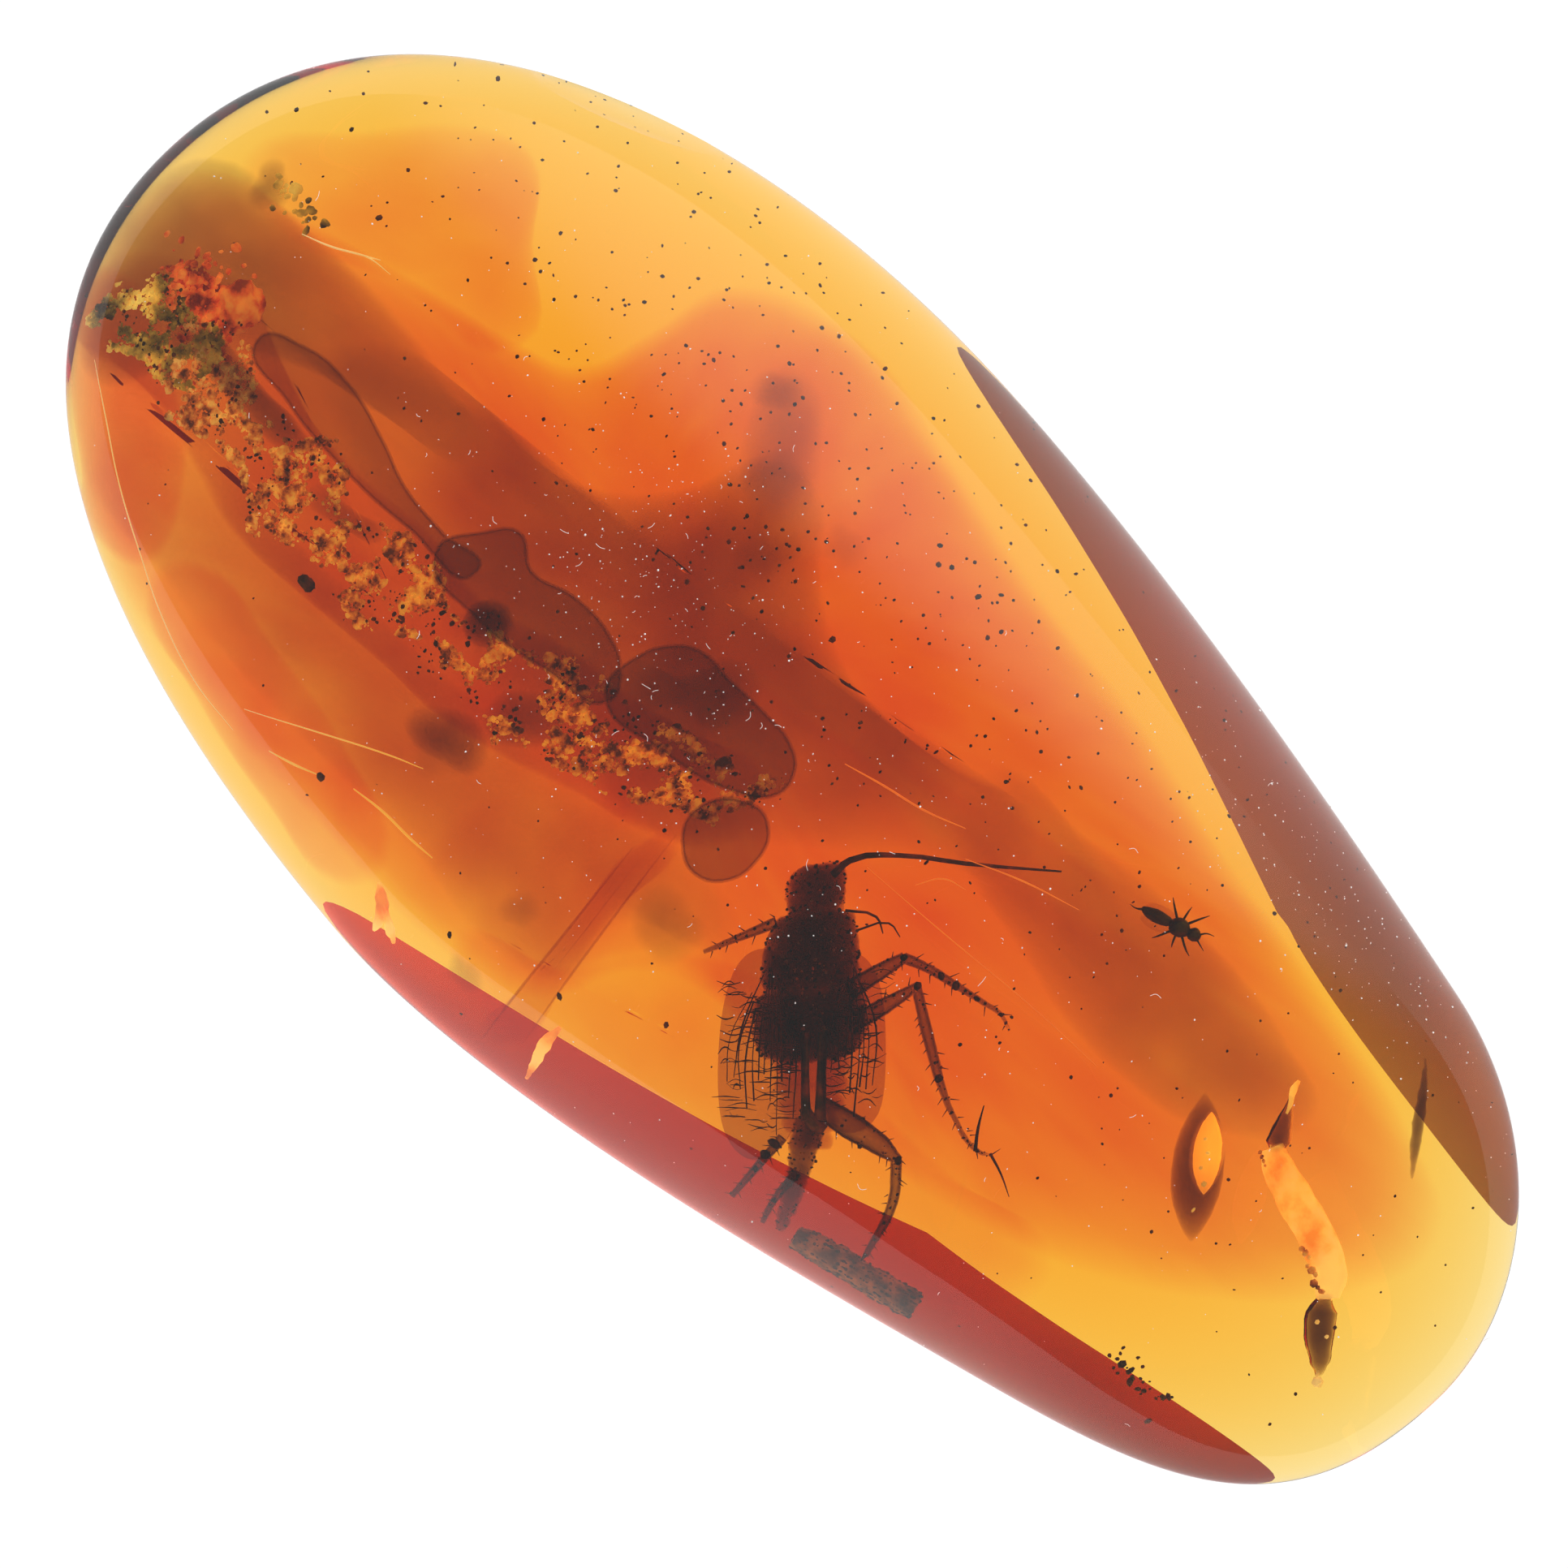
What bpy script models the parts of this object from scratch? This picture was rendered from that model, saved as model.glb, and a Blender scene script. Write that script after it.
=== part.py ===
"""An insect sealed in a polished piece of amber, with a small fly and plant debris.

The amber is one long egg-shaped cabochon: a domed top, a flat foot to rest on, three flat bevels
ground on the underside and one small flat ground on the upper rim. It is parted at one level,
so that each sealed piece lies in a pocket that opens on the parting plane.

Sizes below are millimetres. +X is the long axis, +Z is up, and z = 0 is the flat foot.
"""

import math
import random

import bmesh
import bpy
from mathutils import Matrix, Vector, noise

MM = 0.001
GAP = 0.3

# -- the amber: outline at its widest level, then its section ---------------------------------
# Each knot of the outline: x, y, heading in degrees, handle before it, handle after it.
OUTLINE_KNOTS = (
    (-20.0, -0.8, 91.0, 6.5, 6.6),
    (-3.5, 9.7, 1.0, 8.9, 5.9),
    (13.4, 8.4, -7.5, 4.5, 3.9),
    (20.0, 2.1, -87.5, 2.9, 4.7),
    (12.9, -5.4, 199.0, 4.7, 4.7),
    (-4.3, -9.7, 179.0, 4.8, 8.7),
)
HEIGHT = 9.4
GIRDLE_Z = 3.2
CROWN_XY = Vector((-2.0, 0.4))
DOME_ROUNDNESS = 1.45
# The dome eases from the outline at the girdle to this oval at the crown.
OVAL_AT = Vector((0.0, 0.65))
OVAL_TURN = 4.1
OVAL_HALF_SIZES = (20.05, 9.3)
OVAL_EASING = 3
FOOT_SHARE = 0.8
KEEL_POWER = 3.0
KEEL_ROUNDNESS = 2.5
PART_Z = 3.4
STEPS_PER_SPAN = 9
DOME_RINGS = 11
KEEL_RINGS = 5

# Flats ground on the stone: a point on the flat, the heading of its outward normal seen from
# above, and how far that normal rises above the horizon (below it where negative).
FLATS = (
    ((5.8, 5.5, 0.0), 80.5, -53.5),
    ((5.0, -4.0, 0.0), 290.0, -56.0),
    ((9.0, 0.0, 0.0), 0.0, -82.0),
    ((-13.75, 7.45, GIRDLE_Z), 116.3, 22.0),
)

# -- where the sealed pieces lie ---------------------------------------------------------------
INSECT_AT = Vector((1.7, -0.4, 4.2))
INSECT_TURN = -41.0
FLY_AT = Vector((7.9, 4.2, 4.4))
FLY_TURN = 22.0
DEBRIS_PATH = (
    (-16.7, -4.0, 3.0, 0.7),
    (-15.4, -3.6, 3.1, 0.95),
    (-13.1, -3.3, 3.4, 1.05),
    (-9.7, -3.2, 3.6, 1.1),
    (-6.6, -2.4, 3.6, 1.2),
    (-3.8, -1.7, 3.7, 1.1),
    (-1.6, -1.1, 3.7, 0.95),
    (0.1, -0.2, 3.8, 0.6),
)
DEBRIS_FLATNESS = 0.5
CRUMB_CORE = 0.7
CRUMBS_PER_SPAN = 8
RED_LUMP_AT = (-15.3, -2.5, 3.3)
RED_LUMP_SIZE = (0.62, 0.58, 0.45)
FILM_Z = 5.1
FILM_THICK = 0.3
FILM_EDGE = (
    (-15.0, -2.2),
    (-12.9, -1.3),
    (-11.5, -1.5),
    (-10.4, -1.8),
    (-9.1, -1.4),
    (-8.0, -0.6),
    (-7.2, -0.8),
    (-5.9, -0.5),
    (-4.7, -0.6),
    (-3.6, 0.6),
    (-2.3, 0.6),
    (-1.2, 0.8),
    (-0.4, 0.7),
    (0.0, 0.1),
    (0.5, -0.8),
    (0.7, -1.5),
    (0.1, -2.3),
    (-1.0, -1.7),
    (-3.8, -1.5),
    (-6.6, -2.2),
    (-9.7, -2.9),
    (-13.0, -3.0),
)
HUSK_AT = Vector((12.1, 1.4, 3.9))
HUSK_TURN = -43.0
HUSK_SIZE = Vector((1.55, 0.55, 0.5))
CASE_PATH = (
    (12.2, 4.0, 3.6, 0.12),
    (12.6, 3.3, 3.6, 0.28),
    (13.0, 2.7, 3.6, 0.3),
    (13.9, 2.5, 3.5, 0.36),
    (15.1, 2.3, 3.5, 0.4),
    (16.1, 1.9, 3.4, 0.42),
    (16.4, 1.3, 3.3, 0.4),
    (17.2, 0.7, 3.2, 0.36),
    (17.6, 0.3, 3.1, 0.12),
)
SLIVER_PATH = (
    (13.8, 6.3, 3.0, 0.05),
    (14.2, 5.9, 3.0, 0.12),
    (14.8, 5.2, 3.0, 0.15),
    (15.4, 4.6, 3.0, 0.05),
)
TWIG_PATH = (
    (7.5, -5.7, 3.2, 0.34),
    (8.3, -5.4, 3.2, 0.42),
    (9.2, -5.15, 3.2, 0.4),
    (10.0, -4.9, 3.2, 0.43),
    (10.5, -4.7, 3.2, 0.36),
)

# -- the insect, in its own axes: u from head to tail, v to its right, w up --------------------
# Body masses: centre (u, v, w) and half sizes.
INSECT_BODY = (
    ((0.35, 0.0, 0.0), (0.62, 0.62, 0.5)),
    ((1.55, 0.0, 0.1), (1.15, 1.0, 0.62)),
    ((3.1, 0.0, 0.0), (1.15, 1.2, 0.68)),
    ((4.6, 0.12, -0.05), (1.3, 0.8, 0.5)),
)
# Limbs and rods: points (u, v, w, radius).
INSECT_RODS = {
    "tail": (
        (5.0, 0.14, -0.1, 0.42),
        (6.4, -0.12, -0.15, 0.3),
        (7.3, -0.4, -0.35, 0.24),
        (7.9, -0.65, -0.5, 0.14),
    ),
    "bar_left": ((3.4, -0.1, 0.55, 0.12), (5.3, 0.0, 0.3, 0.12)),
    "bar_right": ((3.4, 0.28, 0.55, 0.12), (5.3, 0.3, 0.3, 0.12)),
    "fore_femur_right": ((2.6, 0.7, -0.2, 0.2), (1.9, 1.87, -0.3, 0.14)),
    "fore_shin_right": ((1.95, 1.8, -0.3, 0.13), (2.35, 2.68, -0.4, 0.1)),
    "fore_foot_right": ((2.3, 2.6, -0.4, 0.1), (2.94, 3.54, -0.4, 0.08), (3.39, 4.15, -0.4, 0.06)),
    "mid_femur_right": ((3.2, 0.8, -0.3, 0.22), (2.49, 2.2, -0.3, 0.14)),
    "mid_shin_right": ((2.5, 2.15, -0.3, 0.13), (4.44, 2.76, -0.4, 0.1)),
    "mid_foot_right": ((4.35, 2.72, -0.4, 0.1), (5.98, 3.65, -0.5, 0.07), (6.1, 3.95, -0.5, 0.06)),
    "claw_right": ((5.9, 3.58, -0.5, 0.06), (5.04, 3.66, -0.5, 0.05)),
    "hind_femur_right": ((4.9, 0.3, -0.2, 0.28), (5.47, 1.18, -0.2, 0.3), (6.13, 2.05, -0.3, 0.14)),
    "hind_shin_right": ((6.05, 2.0, -0.3, 0.12), (7.04, 1.95, -0.4, 0.11), (8.4, 1.3, -0.45, 0.08)),
    "fore_leg_left": ((1.0, -0.6, -0.2, 0.16), (1.26, -1.49, -0.3, 0.11), (1.52, -2.19, -0.3, 0.07)),
    "mid_leg_left": ((5.3, -0.3, -0.2, 0.16), (6.35, -1.08, -0.35, 0.12), (7.1, -1.7, -0.6, 0.08)),
    "hind_leg_left": ((6.2, -0.1, -0.3, 0.14), (7.1, -0.8, -0.5, 0.1), (7.6, -1.1, -0.6, 0.08)),
    "antenna_right": (
        (0.15, 0.25, 0.2, 0.1),
        (-0.15, 0.65, 0.3, 0.09),
        (-0.15, 1.66, 0.4, 0.08),
        (0.15, 3.17, 0.4, 0.07),
        (0.38, 5.0, 0.4, 0.05),
    ),
}
# Wings: outline (u, v) of one wing, laid over the abdomen on each side.
WING_LEFT = (
    (1.6, -0.5),
    (1.7, -1.5),
    (2.6, -1.85),
    (3.9, -1.97),
    (5.8, -1.95),
    (6.4, -1.55),
    (6.4, -0.95),
    (5.4, -0.2),
    (3.4, -0.1),
)
WING_RIGHT = (
    (1.7, 0.5),
    (1.8, 1.1),
    (2.6, 1.5),
    (3.9, 1.62),
    (5.2, 1.55),
    (5.7, 1.05),
    (5.3, 0.35),
    (3.4, 0.2),
)
WING_W = 0.42
WING_THICK = 0.16

# -- pockets: name, bottom level, top level and plan outline -----------------------------------
# Plans of the insect's pockets are in its own (u, v) axes, the others in the amber's.
INSECT_POCKETS = (
    (
        "body",
        2.95,
        5.2,
        (
            (-0.7, -1.0),
            (0.2, -2.6),
            (1.9, -2.7),
            (4.0, -2.4),
            (5.9, -2.35),
            (6.75, -1.95),
            (6.9, 0.9),
            (5.9, 2.1),
            (1.5, 2.1),
            (-0.7, 1.1),
        ),
    ),
    ("tail", 2.95, 4.1, ((6.5, -2.2), (7.4, -2.05), (7.95, -1.45), (8.25, -0.9), (8.3, -0.3), (6.5, 0.4))),
    (
        "right_legs",
        2.95,
        4.5,
        (
            (1.4, 1.4),
            (1.6, 2.4),
            (3.0, 4.5),
            (3.8, 4.6),
            (4.9, 4.1),
            (6.1, 4.4),
            (6.6, 4.0),
            (6.6, 2.5),
            (8.85, 1.7),
            (8.7, 0.8),
            (7.2, 1.2),
            (5.0, 1.3),
        ),
    ),
    (
        "antenna",
        2.95,
        5.1,
        ((-0.6, 0.6), (-0.65, 1.9), (-0.3, 3.2), (0.0, 5.4), (0.8, 5.3), (0.65, 3.0), (0.9, 0.7)),
    ),
)
POCKETS = (
    ("fly", 2.95, 5.0, ((6.4, 3.4), (6.7, 4.6), (8.4, 5.3), (9.6, 5.2), (9.5, 4.2), (8.6, 3.4))),
    (
        "debris_end",
        2.3,
        4.0,
        ((-17.3, -4.8), (-17.6, -3.5), (-16.9, -1.7), (-14.6, -1.2), (-14.6, -5.2), (-15.8, -5.2)),
    ),
    (
        "debris",
        2.5,
        4.6,
        (
            (-14.9, -5.0),
            (-14.9, -1.4),
            (-9.8, -0.9),
            (-3.9, 0.4),
            (-0.6, 1.1),
            (1.2, 0.4),
            (1.0, -1.0),
            (-1.5, -2.9),
            (-6.0, -4.5),
            (-9.6, -5.2),
        ),
    ),
    (
        "film",
        4.3,
        5.6,
        (
            (-15.6, -2.6),
            (-12.9, -0.7),
            (-9.5, -0.8),
            (-8.2, 0.0),
            (-4.9, 0.1),
            (-3.8, 1.1),
            (-0.3, 1.2),
            (0.5, 0.3),
            (1.3, -1.6),
            (0.2, -2.9),
            (-4.3, -2.2),
            (-9.7, -3.5),
            (-13.4, -3.6),
        ),
    ),
    (
        "husk",
        2.95,
        4.8,
        ((10.5, 2.0), (11.3, 2.9), (12.2, 2.6), (13.7, 1.2), (13.8, 0.1), (12.6, -0.1), (11.5, 0.6)),
    ),
    (
        "case",
        2.45,
        4.25,
        (
            (11.9, 4.6),
            (12.7, 4.5),
            (13.5, 3.3),
            (15.3, 3.1),
            (16.8, 2.5),
            (17.2, 1.5),
            (18.0, 0.7),
            (17.7, -0.1),
            (16.5, 0.4),
            (15.5, 1.4),
            (13.2, 1.7),
            (12.2, 2.9),
            (11.7, 3.7),
        ),
    ),
    ("sliver", 2.5, 3.5, ((13.3, 6.5), (14.0, 6.9), (15.7, 5.0), (15.6, 4.1), (14.8, 4.3))),
    (
        "twig",
        2.45,
        3.95,
        ((7.0, -6.1), (7.0, -5.1), (8.5, -4.6), (10.7, -4.0), (11.1, -4.5), (10.7, -5.4), (8.6, -6.1)),
    ),
)

random.seed(7)


# -- materials ---------------------------------------------------------------------------------
def finish(name, colour, roughness, metallic=0.0, clear=0.0):
    made = bpy.data.materials.new(name)
    made.use_nodes = True
    shader = made.node_tree.nodes["Principled BSDF"]
    shader.inputs["Base Color"].default_value = (*colour, 1.0)
    shader.inputs["Roughness"].default_value = roughness
    shader.inputs["Metallic"].default_value = metallic
    shader.inputs["Transmission Weight"].default_value = clear
    return made


# -- small mesh tools --------------------------------------------------------------------------
def to_object(bm, name, material=None, place=Matrix.Identity(4)):
    """Turn a mesh in millimetres, in its own axes, into an object in metres."""
    bmesh.ops.recalc_face_normals(bm, faces=bm.faces)
    bm.transform(Matrix.Scale(MM, 4) @ place)
    mesh = bpy.data.meshes.new(name)
    bm.to_mesh(mesh)
    bm.free()
    made = bpy.data.objects.new(name, mesh)
    if material:
        mesh.materials.append(material)
    bpy.context.scene.collection.objects.link(made)
    return made


def helper(made):
    """Keep an object as a cutter or a building block only."""
    made.hide_render = True
    made.display_type = "WIRE"
    return made


def loft(bm, rings, cap_start=None, cap_end=None):
    """Bridge closed rings of points, closed at each end by a point or by a flat face."""
    loops = [[bm.verts.new(point) for point in ring] for ring in rings]
    count = len(loops[0])
    for low, high in zip(loops, loops[1:]):
        for i in range(count):
            after = (i + 1) % count
            bm.faces.new((low[i], low[after], high[after], high[i]))
    for loop, tip in ((loops[0], cap_start), (loops[-1], cap_end)):
        if tip is None:
            bm.faces.new(loop)
            continue
        pole = bm.verts.new(tip)
        for i in range(count):
            bm.faces.new((loop[i], loop[(i + 1) % count], pole))


def rod(bm, path, sides=6, flatness=1.0):
    """A round bar along points (x, y, z, radius), flattened in height where flatness < 1."""
    points = [Vector(p[:3]) for p in path]
    rings = []
    for i, point in enumerate(points):
        ahead = points[min(i + 1, len(points) - 1)] - points[max(i - 1, 0)]
        across = ahead.cross(Vector((0, 0, 1))).normalized()
        up = across.cross(ahead).normalized() * flatness
        radius = path[i][3]
        turns = [2 * math.pi * k / sides for k in range(sides)]
        rings.append([point + radius * (math.cos(t) * across + math.sin(t) * up) for t in turns])
    loft(bm, rings)


def lump(bm, centre, half_sizes, roughness=0.0, level=2, turn=Matrix.Identity(4)):
    """An icosphere stretched to its half sizes, its surface pushed in and out a little."""
    made = bmesh.ops.create_icosphere(bm, subdivisions=level, radius=1.0)["verts"]
    for vert in made:
        push = 1.0 + roughness * noise.noise(vert.co * 1.7 + Vector(centre))
        vert.co = Vector(centre) + turn @ Vector([c * h * push for c, h in zip(vert.co, half_sizes)])


def plate(bm, outline, low, high):
    """A flat plate or prism over a plan outline."""
    loft(bm, [[(x, y, low) for x, y in outline], [(x, y, high) for x, y in outline]])


def fuse(name, material, blocks):
    """Join overlapping blocks in one solid: the first is the node, the rest are united with it."""
    node = blocks[0]
    node.name = name
    node.data.materials.append(material)
    family = bpy.data.collections.new(name + "_blocks")
    bpy.context.scene.collection.children.link(family)
    for block in blocks[1:]:
        bpy.context.scene.collection.objects.unlink(block)
        family.objects.link(helper(block))
    union = node.modifiers.new("fused", "BOOLEAN")
    union.operation = "UNION"
    union.operand_type = "COLLECTION"
    union.collection = family
    return node


# -- the amber ---------------------------------------------------------------------------------
def outline():
    """The widest outline, as points along its spans."""
    points = []
    for i, (x, y, heading, _, ahead) in enumerate(OUTLINE_KNOTS):
        next_x, next_y, next_heading, before, _ = OUTLINE_KNOTS[(i + 1) % len(OUTLINE_KNOTS)]
        start = Vector((x, y))
        end = Vector((next_x, next_y))
        lead = start + ahead * Vector((math.cos(math.radians(heading)), math.sin(math.radians(heading))))
        trail = math.radians(next_heading)
        follow = end - before * Vector((math.cos(trail), math.sin(trail)))
        for k in range(STEPS_PER_SPAN):
            t = k / STEPS_PER_SPAN
            s = 1 - t
            points.append(s**3 * start + 3 * s * s * t * lead + 3 * s * t * t * follow + t**3 * end)
    return points


def oval(point):
    """The point of the crown's oval that lies in the same direction as a point of the outline."""
    away = Matrix.Rotation(math.radians(-OVAL_TURN), 2) @ (point - OVAL_AT)
    reach = math.hypot(away.x / OVAL_HALF_SIZES[0], away.y / OVAL_HALF_SIZES[1])
    return OVAL_AT + (point - OVAL_AT) / reach


def level_ring(edge, share, z, own=1.0):
    """The outline drawn in towards the crown to this share of its size, at height z.

    It keeps this much of its own form, and takes the rest from the oval.
    """
    eased = [point * own + oval(point) * (1 - own) for point in edge]
    return [(*(CROWN_XY * (1 - share) + point * share), z) for point in eased]


def dome_z(share):
    return GIRDLE_Z + (HEIGHT - GIRDLE_Z) * max(1 - share**2, 0.0) ** (1 / DOME_ROUNDNESS)


def keel_z(share):
    swell = max((share - FOOT_SHARE) / (1 - FOOT_SHARE), 0.0)
    return GIRDLE_Z * (1 - max(1 - swell**KEEL_POWER, 0.0) ** (1 / KEEL_ROUNDNESS))


def stone():
    """The whole amber as one closed mesh, its flats ground."""
    edge = outline()
    rings = [level_ring(edge, FOOT_SHARE, 0.0)]
    for k in range(1, KEEL_RINGS + 1):
        share = FOOT_SHARE + (1 - FOOT_SHARE) * math.sin(math.pi / 2 * k / KEEL_RINGS)
        rings.append(level_ring(edge, share, keel_z(share)))
    for k in range(1, DOME_RINGS):
        share = math.cos(math.pi / 2 * k / DOME_RINGS)
        rings.append(level_ring(edge, share, dome_z(share), own=share**OVAL_EASING))
    bm = bmesh.new()
    loft(bm, rings, cap_start=None, cap_end=(*CROWN_XY, HEIGHT))
    bmesh.ops.recalc_face_normals(bm, faces=bm.faces)
    for point, heading, rise in FLATS:
        flat = Vector((math.cos(math.radians(heading)), math.sin(math.radians(heading)), 0.0))
        normal = flat * math.cos(math.radians(rise)) + Vector((0, 0, math.sin(math.radians(rise))))
        grind(bm, point, normal)
    return bm


def grind(bm, point, normal):
    """Cut away what lies beyond a plane and close the cut with one flat face."""
    everything = bm.verts[:] + bm.edges[:] + bm.faces[:]
    cut = bmesh.ops.bisect_plane(
        bm, geom=everything, dist=0.001, plane_co=point, plane_no=normal, clear_outer=True
    )
    rim = [item for item in cut["geom_cut"] if isinstance(item, bmesh.types.BMEdge)]
    bmesh.ops.edgeloop_fill(bm, edges=rim)


def insect_place():
    return Matrix.Translation(INSECT_AT) @ Matrix.Rotation(math.radians(INSECT_TURN), 4, "Z")


def pocket_cutters():
    """One prism over each sealed piece, all of them crossing the parting plane."""
    cutters = []
    for pockets, place in ((INSECT_POCKETS, insect_place()), (POCKETS, Matrix.Identity(4))):
        for name, low, high, plan in pockets:
            bm = bmesh.new()
            plate(bm, plan, low - place.translation.z, high - place.translation.z)
            cutters.append(helper(to_object(bm, "pocket_" + name, place=place)))
    return cutters


def amber(material):
    cutters = pocket_cutters()
    for name, z, side in (("amber_lower", PART_Z - GAP / 2, 1), ("amber_upper", PART_Z + GAP / 2, -1)):
        bm = stone()
        grind(bm, (0, 0, z), (0, 0, side))
        half = to_object(bm, name, material)
        half.data.set_sharp_from_angle(angle=math.radians(20))
        for cutter in cutters:
            cut = half.modifiers.new(cutter.name, "BOOLEAN")
            cut.operation = "DIFFERENCE"
            cut.object = cutter


# -- the sealed pieces -------------------------------------------------------------------------
def insect(material):
    place = insect_place()
    blocks = []
    for centre, half_sizes in INSECT_BODY:
        bm = bmesh.new()
        lump(bm, centre, half_sizes, roughness=0.15)
        blocks.append(to_object(bm, "insect_body", place=place))
    for name, path in INSECT_RODS.items():
        bm = bmesh.new()
        rod(bm, path)
        blocks.append(to_object(bm, "insect_" + name, place=place))
    for plan in (WING_LEFT, WING_RIGHT):
        bm = bmesh.new()
        plate(bm, plan, WING_W - WING_THICK / 2, WING_W + WING_THICK / 2)
        blocks.append(to_object(bm, "insect_wing", place=place))
    return fuse("insect", material, blocks)


def small_fly(material):
    place = Matrix.Translation(FLY_AT) @ Matrix.Rotation(math.radians(FLY_TURN), 4, "Z")
    blocks = []
    for centre, half_sizes in (
        ((0.0, 0.0, 0.0), (0.26, 0.2, 0.2)),
        ((0.36, 0.0, 0.02), (0.16, 0.15, 0.14)),
        ((-0.42, 0.0, -0.02), (0.4, 0.13, 0.12)),
    ):
        bm = bmesh.new()
        lump(bm, centre, half_sizes)
        blocks.append(to_object(bm, "fly_body", place=place))
    for side in (-1, 1):
        bm = bmesh.new()
        wing = ((0.05, 0.04), (-0.35, 0.24), (-0.8, 0.22), (-0.85, 0.08), (-0.4, 0.04))
        plate(bm, [(x, side * y) for x, y in wing], 0.03, 0.13)
        blocks.append(to_object(bm, "fly_wing", place=place))
        for start in (-0.12, 0.0, 0.12):
            bm = bmesh.new()
            foot = (start * 2.4, side * 0.42, -0.22, 0.03)
            rod(bm, ((start, side * 0.1, -0.08, 0.05), (start * 2, side * 0.3, -0.1, 0.04), foot), sides=4)
            blocks.append(to_object(bm, "fly_leg", place=place))
    return fuse("small_fly", material, blocks)


def bark_crumbs(material):
    """A flat lumpy strip along the debris path, with crumbs grown onto it."""
    bm = bmesh.new()
    core = [(x, y, z, radius * CRUMB_CORE) for x, y, z, radius in DEBRIS_PATH]
    rod(bm, core, sides=8, flatness=DEBRIS_FLATNESS)
    blocks = [to_object(bm, "crumb_core")]
    for (x0, y0, z0, r0), (x1, y1, z1, r1) in zip(DEBRIS_PATH, DEBRIS_PATH[1:]):
        for k in range(CRUMBS_PER_SPAN):
            t = (k + random.random()) / CRUMBS_PER_SPAN
            radius = r0 + t * (r1 - r0)
            side = random.uniform(-0.85, 0.85) * radius
            normal = Vector((y0 - y1, x1 - x0)).normalized()
            centre = (
                x0 + t * (x1 - x0) + side * normal.x,
                y0 + t * (y1 - y0) + side * normal.y,
                z0 + t * (z1 - z0) + random.uniform(-0.05, 0.2),
            )
            size = radius * random.uniform(0.3, 0.5)
            half_sizes = (size * random.uniform(0.9, 1.4), size, random.uniform(0.3, 0.42))
            bm = bmesh.new()
            spin = Matrix.Rotation(random.uniform(0, math.pi), 4, "Z")
            lump(bm, centre, half_sizes, roughness=0.6, level=1, turn=spin)
            blocks.append(to_object(bm, "crumb"))
    bm = bmesh.new()
    lump(bm, RED_LUMP_AT, RED_LUMP_SIZE, roughness=0.3)
    blocks.append(to_object(bm, "crumb_red"))
    return fuse("bark_crumbs", material, blocks)


def stained_film(material):
    bm = bmesh.new()
    plate(bm, FILM_EDGE, FILM_Z - FILM_THICK / 2, FILM_Z + FILM_THICK / 2)
    return to_object(bm, "stained_film", material)


def twig(material):
    bm = bmesh.new()
    rod(bm, TWIG_PATH, sides=8)
    return to_object(bm, "twig", material)


def seed_husk(material):
    """A boat-shaped husk: one long egg hollowed from above by another."""
    place = Matrix.Translation(HUSK_AT) @ Matrix.Rotation(math.radians(HUSK_TURN), 4, "Z")
    bm = bmesh.new()
    lump(bm, (0, 0, 0), HUSK_SIZE)
    husk = to_object(bm, "seed_husk", material, place)
    bm = bmesh.new()
    lump(bm, (0.1, 0.12, 0.42), HUSK_SIZE * 0.82)
    scoop = helper(to_object(bm, "husk_hollow", place=place))
    cut = husk.modifiers.new("hollow", "BOOLEAN")
    cut.operation = "DIFFERENCE"
    cut.object = scoop
    return husk


def case_tube(material):
    bm = bmesh.new()
    rod(bm, CASE_PATH, sides=8)
    return to_object(bm, "case_tube", material)


def bark_sliver(material):
    bm = bmesh.new()
    rod(bm, SLIVER_PATH, sides=5)
    return to_object(bm, "bark_sliver", material)


def main():
    for old in list(bpy.data.objects):
        bpy.data.objects.remove(old, do_unlink=True)
    amber(finish("amber", (0.95, 0.5, 0.06), 0.04, clear=1.0))
    insect(finish("insect_dark", (0.035, 0.012, 0.008), 0.45))
    small_fly(finish("fly_dark", (0.03, 0.015, 0.008), 0.45))
    bark_crumbs(finish("bark_gold", (0.42, 0.17, 0.04), 0.7))
    stained_film(finish("film_red_brown", (0.22, 0.03, 0.012), 0.4))
    twig(finish("twig_brown", (0.1, 0.035, 0.012), 0.7))
    seed_husk(finish("husk_brown", (0.16, 0.06, 0.02), 0.4))
    case_tube(finish("case_cream", (0.75, 0.38, 0.12), 0.5))
    bark_sliver(finish("sliver_dark", (0.05, 0.015, 0.008), 0.6))


main()
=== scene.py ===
# %% [markdown]
# # An insect sealed in amber
# A polished amber cabochon lies on a white light table. Inside it are an insect, a small fly and plant
# debris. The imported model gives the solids. This script dresses them: one clear stone in place of its two
# halves, and a finely modelled piece in place of each plain solid inside.
# Everything is modelled at one unit to the millimetre, because modelling operators work best on sizes near
# one, and each finished piece is then shrunk to metres and laid where it belongs.

import math
import random

import bmesh
import bpy
from mathutils import Matrix, Vector, noise


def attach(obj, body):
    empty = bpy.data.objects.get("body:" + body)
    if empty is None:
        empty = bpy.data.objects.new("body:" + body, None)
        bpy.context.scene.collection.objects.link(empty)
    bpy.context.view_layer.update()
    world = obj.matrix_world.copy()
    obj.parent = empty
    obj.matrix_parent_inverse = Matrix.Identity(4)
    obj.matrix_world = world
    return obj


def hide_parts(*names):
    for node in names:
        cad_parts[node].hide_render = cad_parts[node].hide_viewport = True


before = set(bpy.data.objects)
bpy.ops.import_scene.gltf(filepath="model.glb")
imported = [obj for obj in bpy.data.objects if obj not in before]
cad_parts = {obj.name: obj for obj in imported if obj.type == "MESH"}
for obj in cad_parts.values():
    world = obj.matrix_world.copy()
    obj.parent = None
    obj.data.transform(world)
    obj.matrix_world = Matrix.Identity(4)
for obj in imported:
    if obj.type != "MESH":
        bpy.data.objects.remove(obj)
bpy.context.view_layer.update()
MM = 0.001
scene = bpy.context.scene
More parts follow.
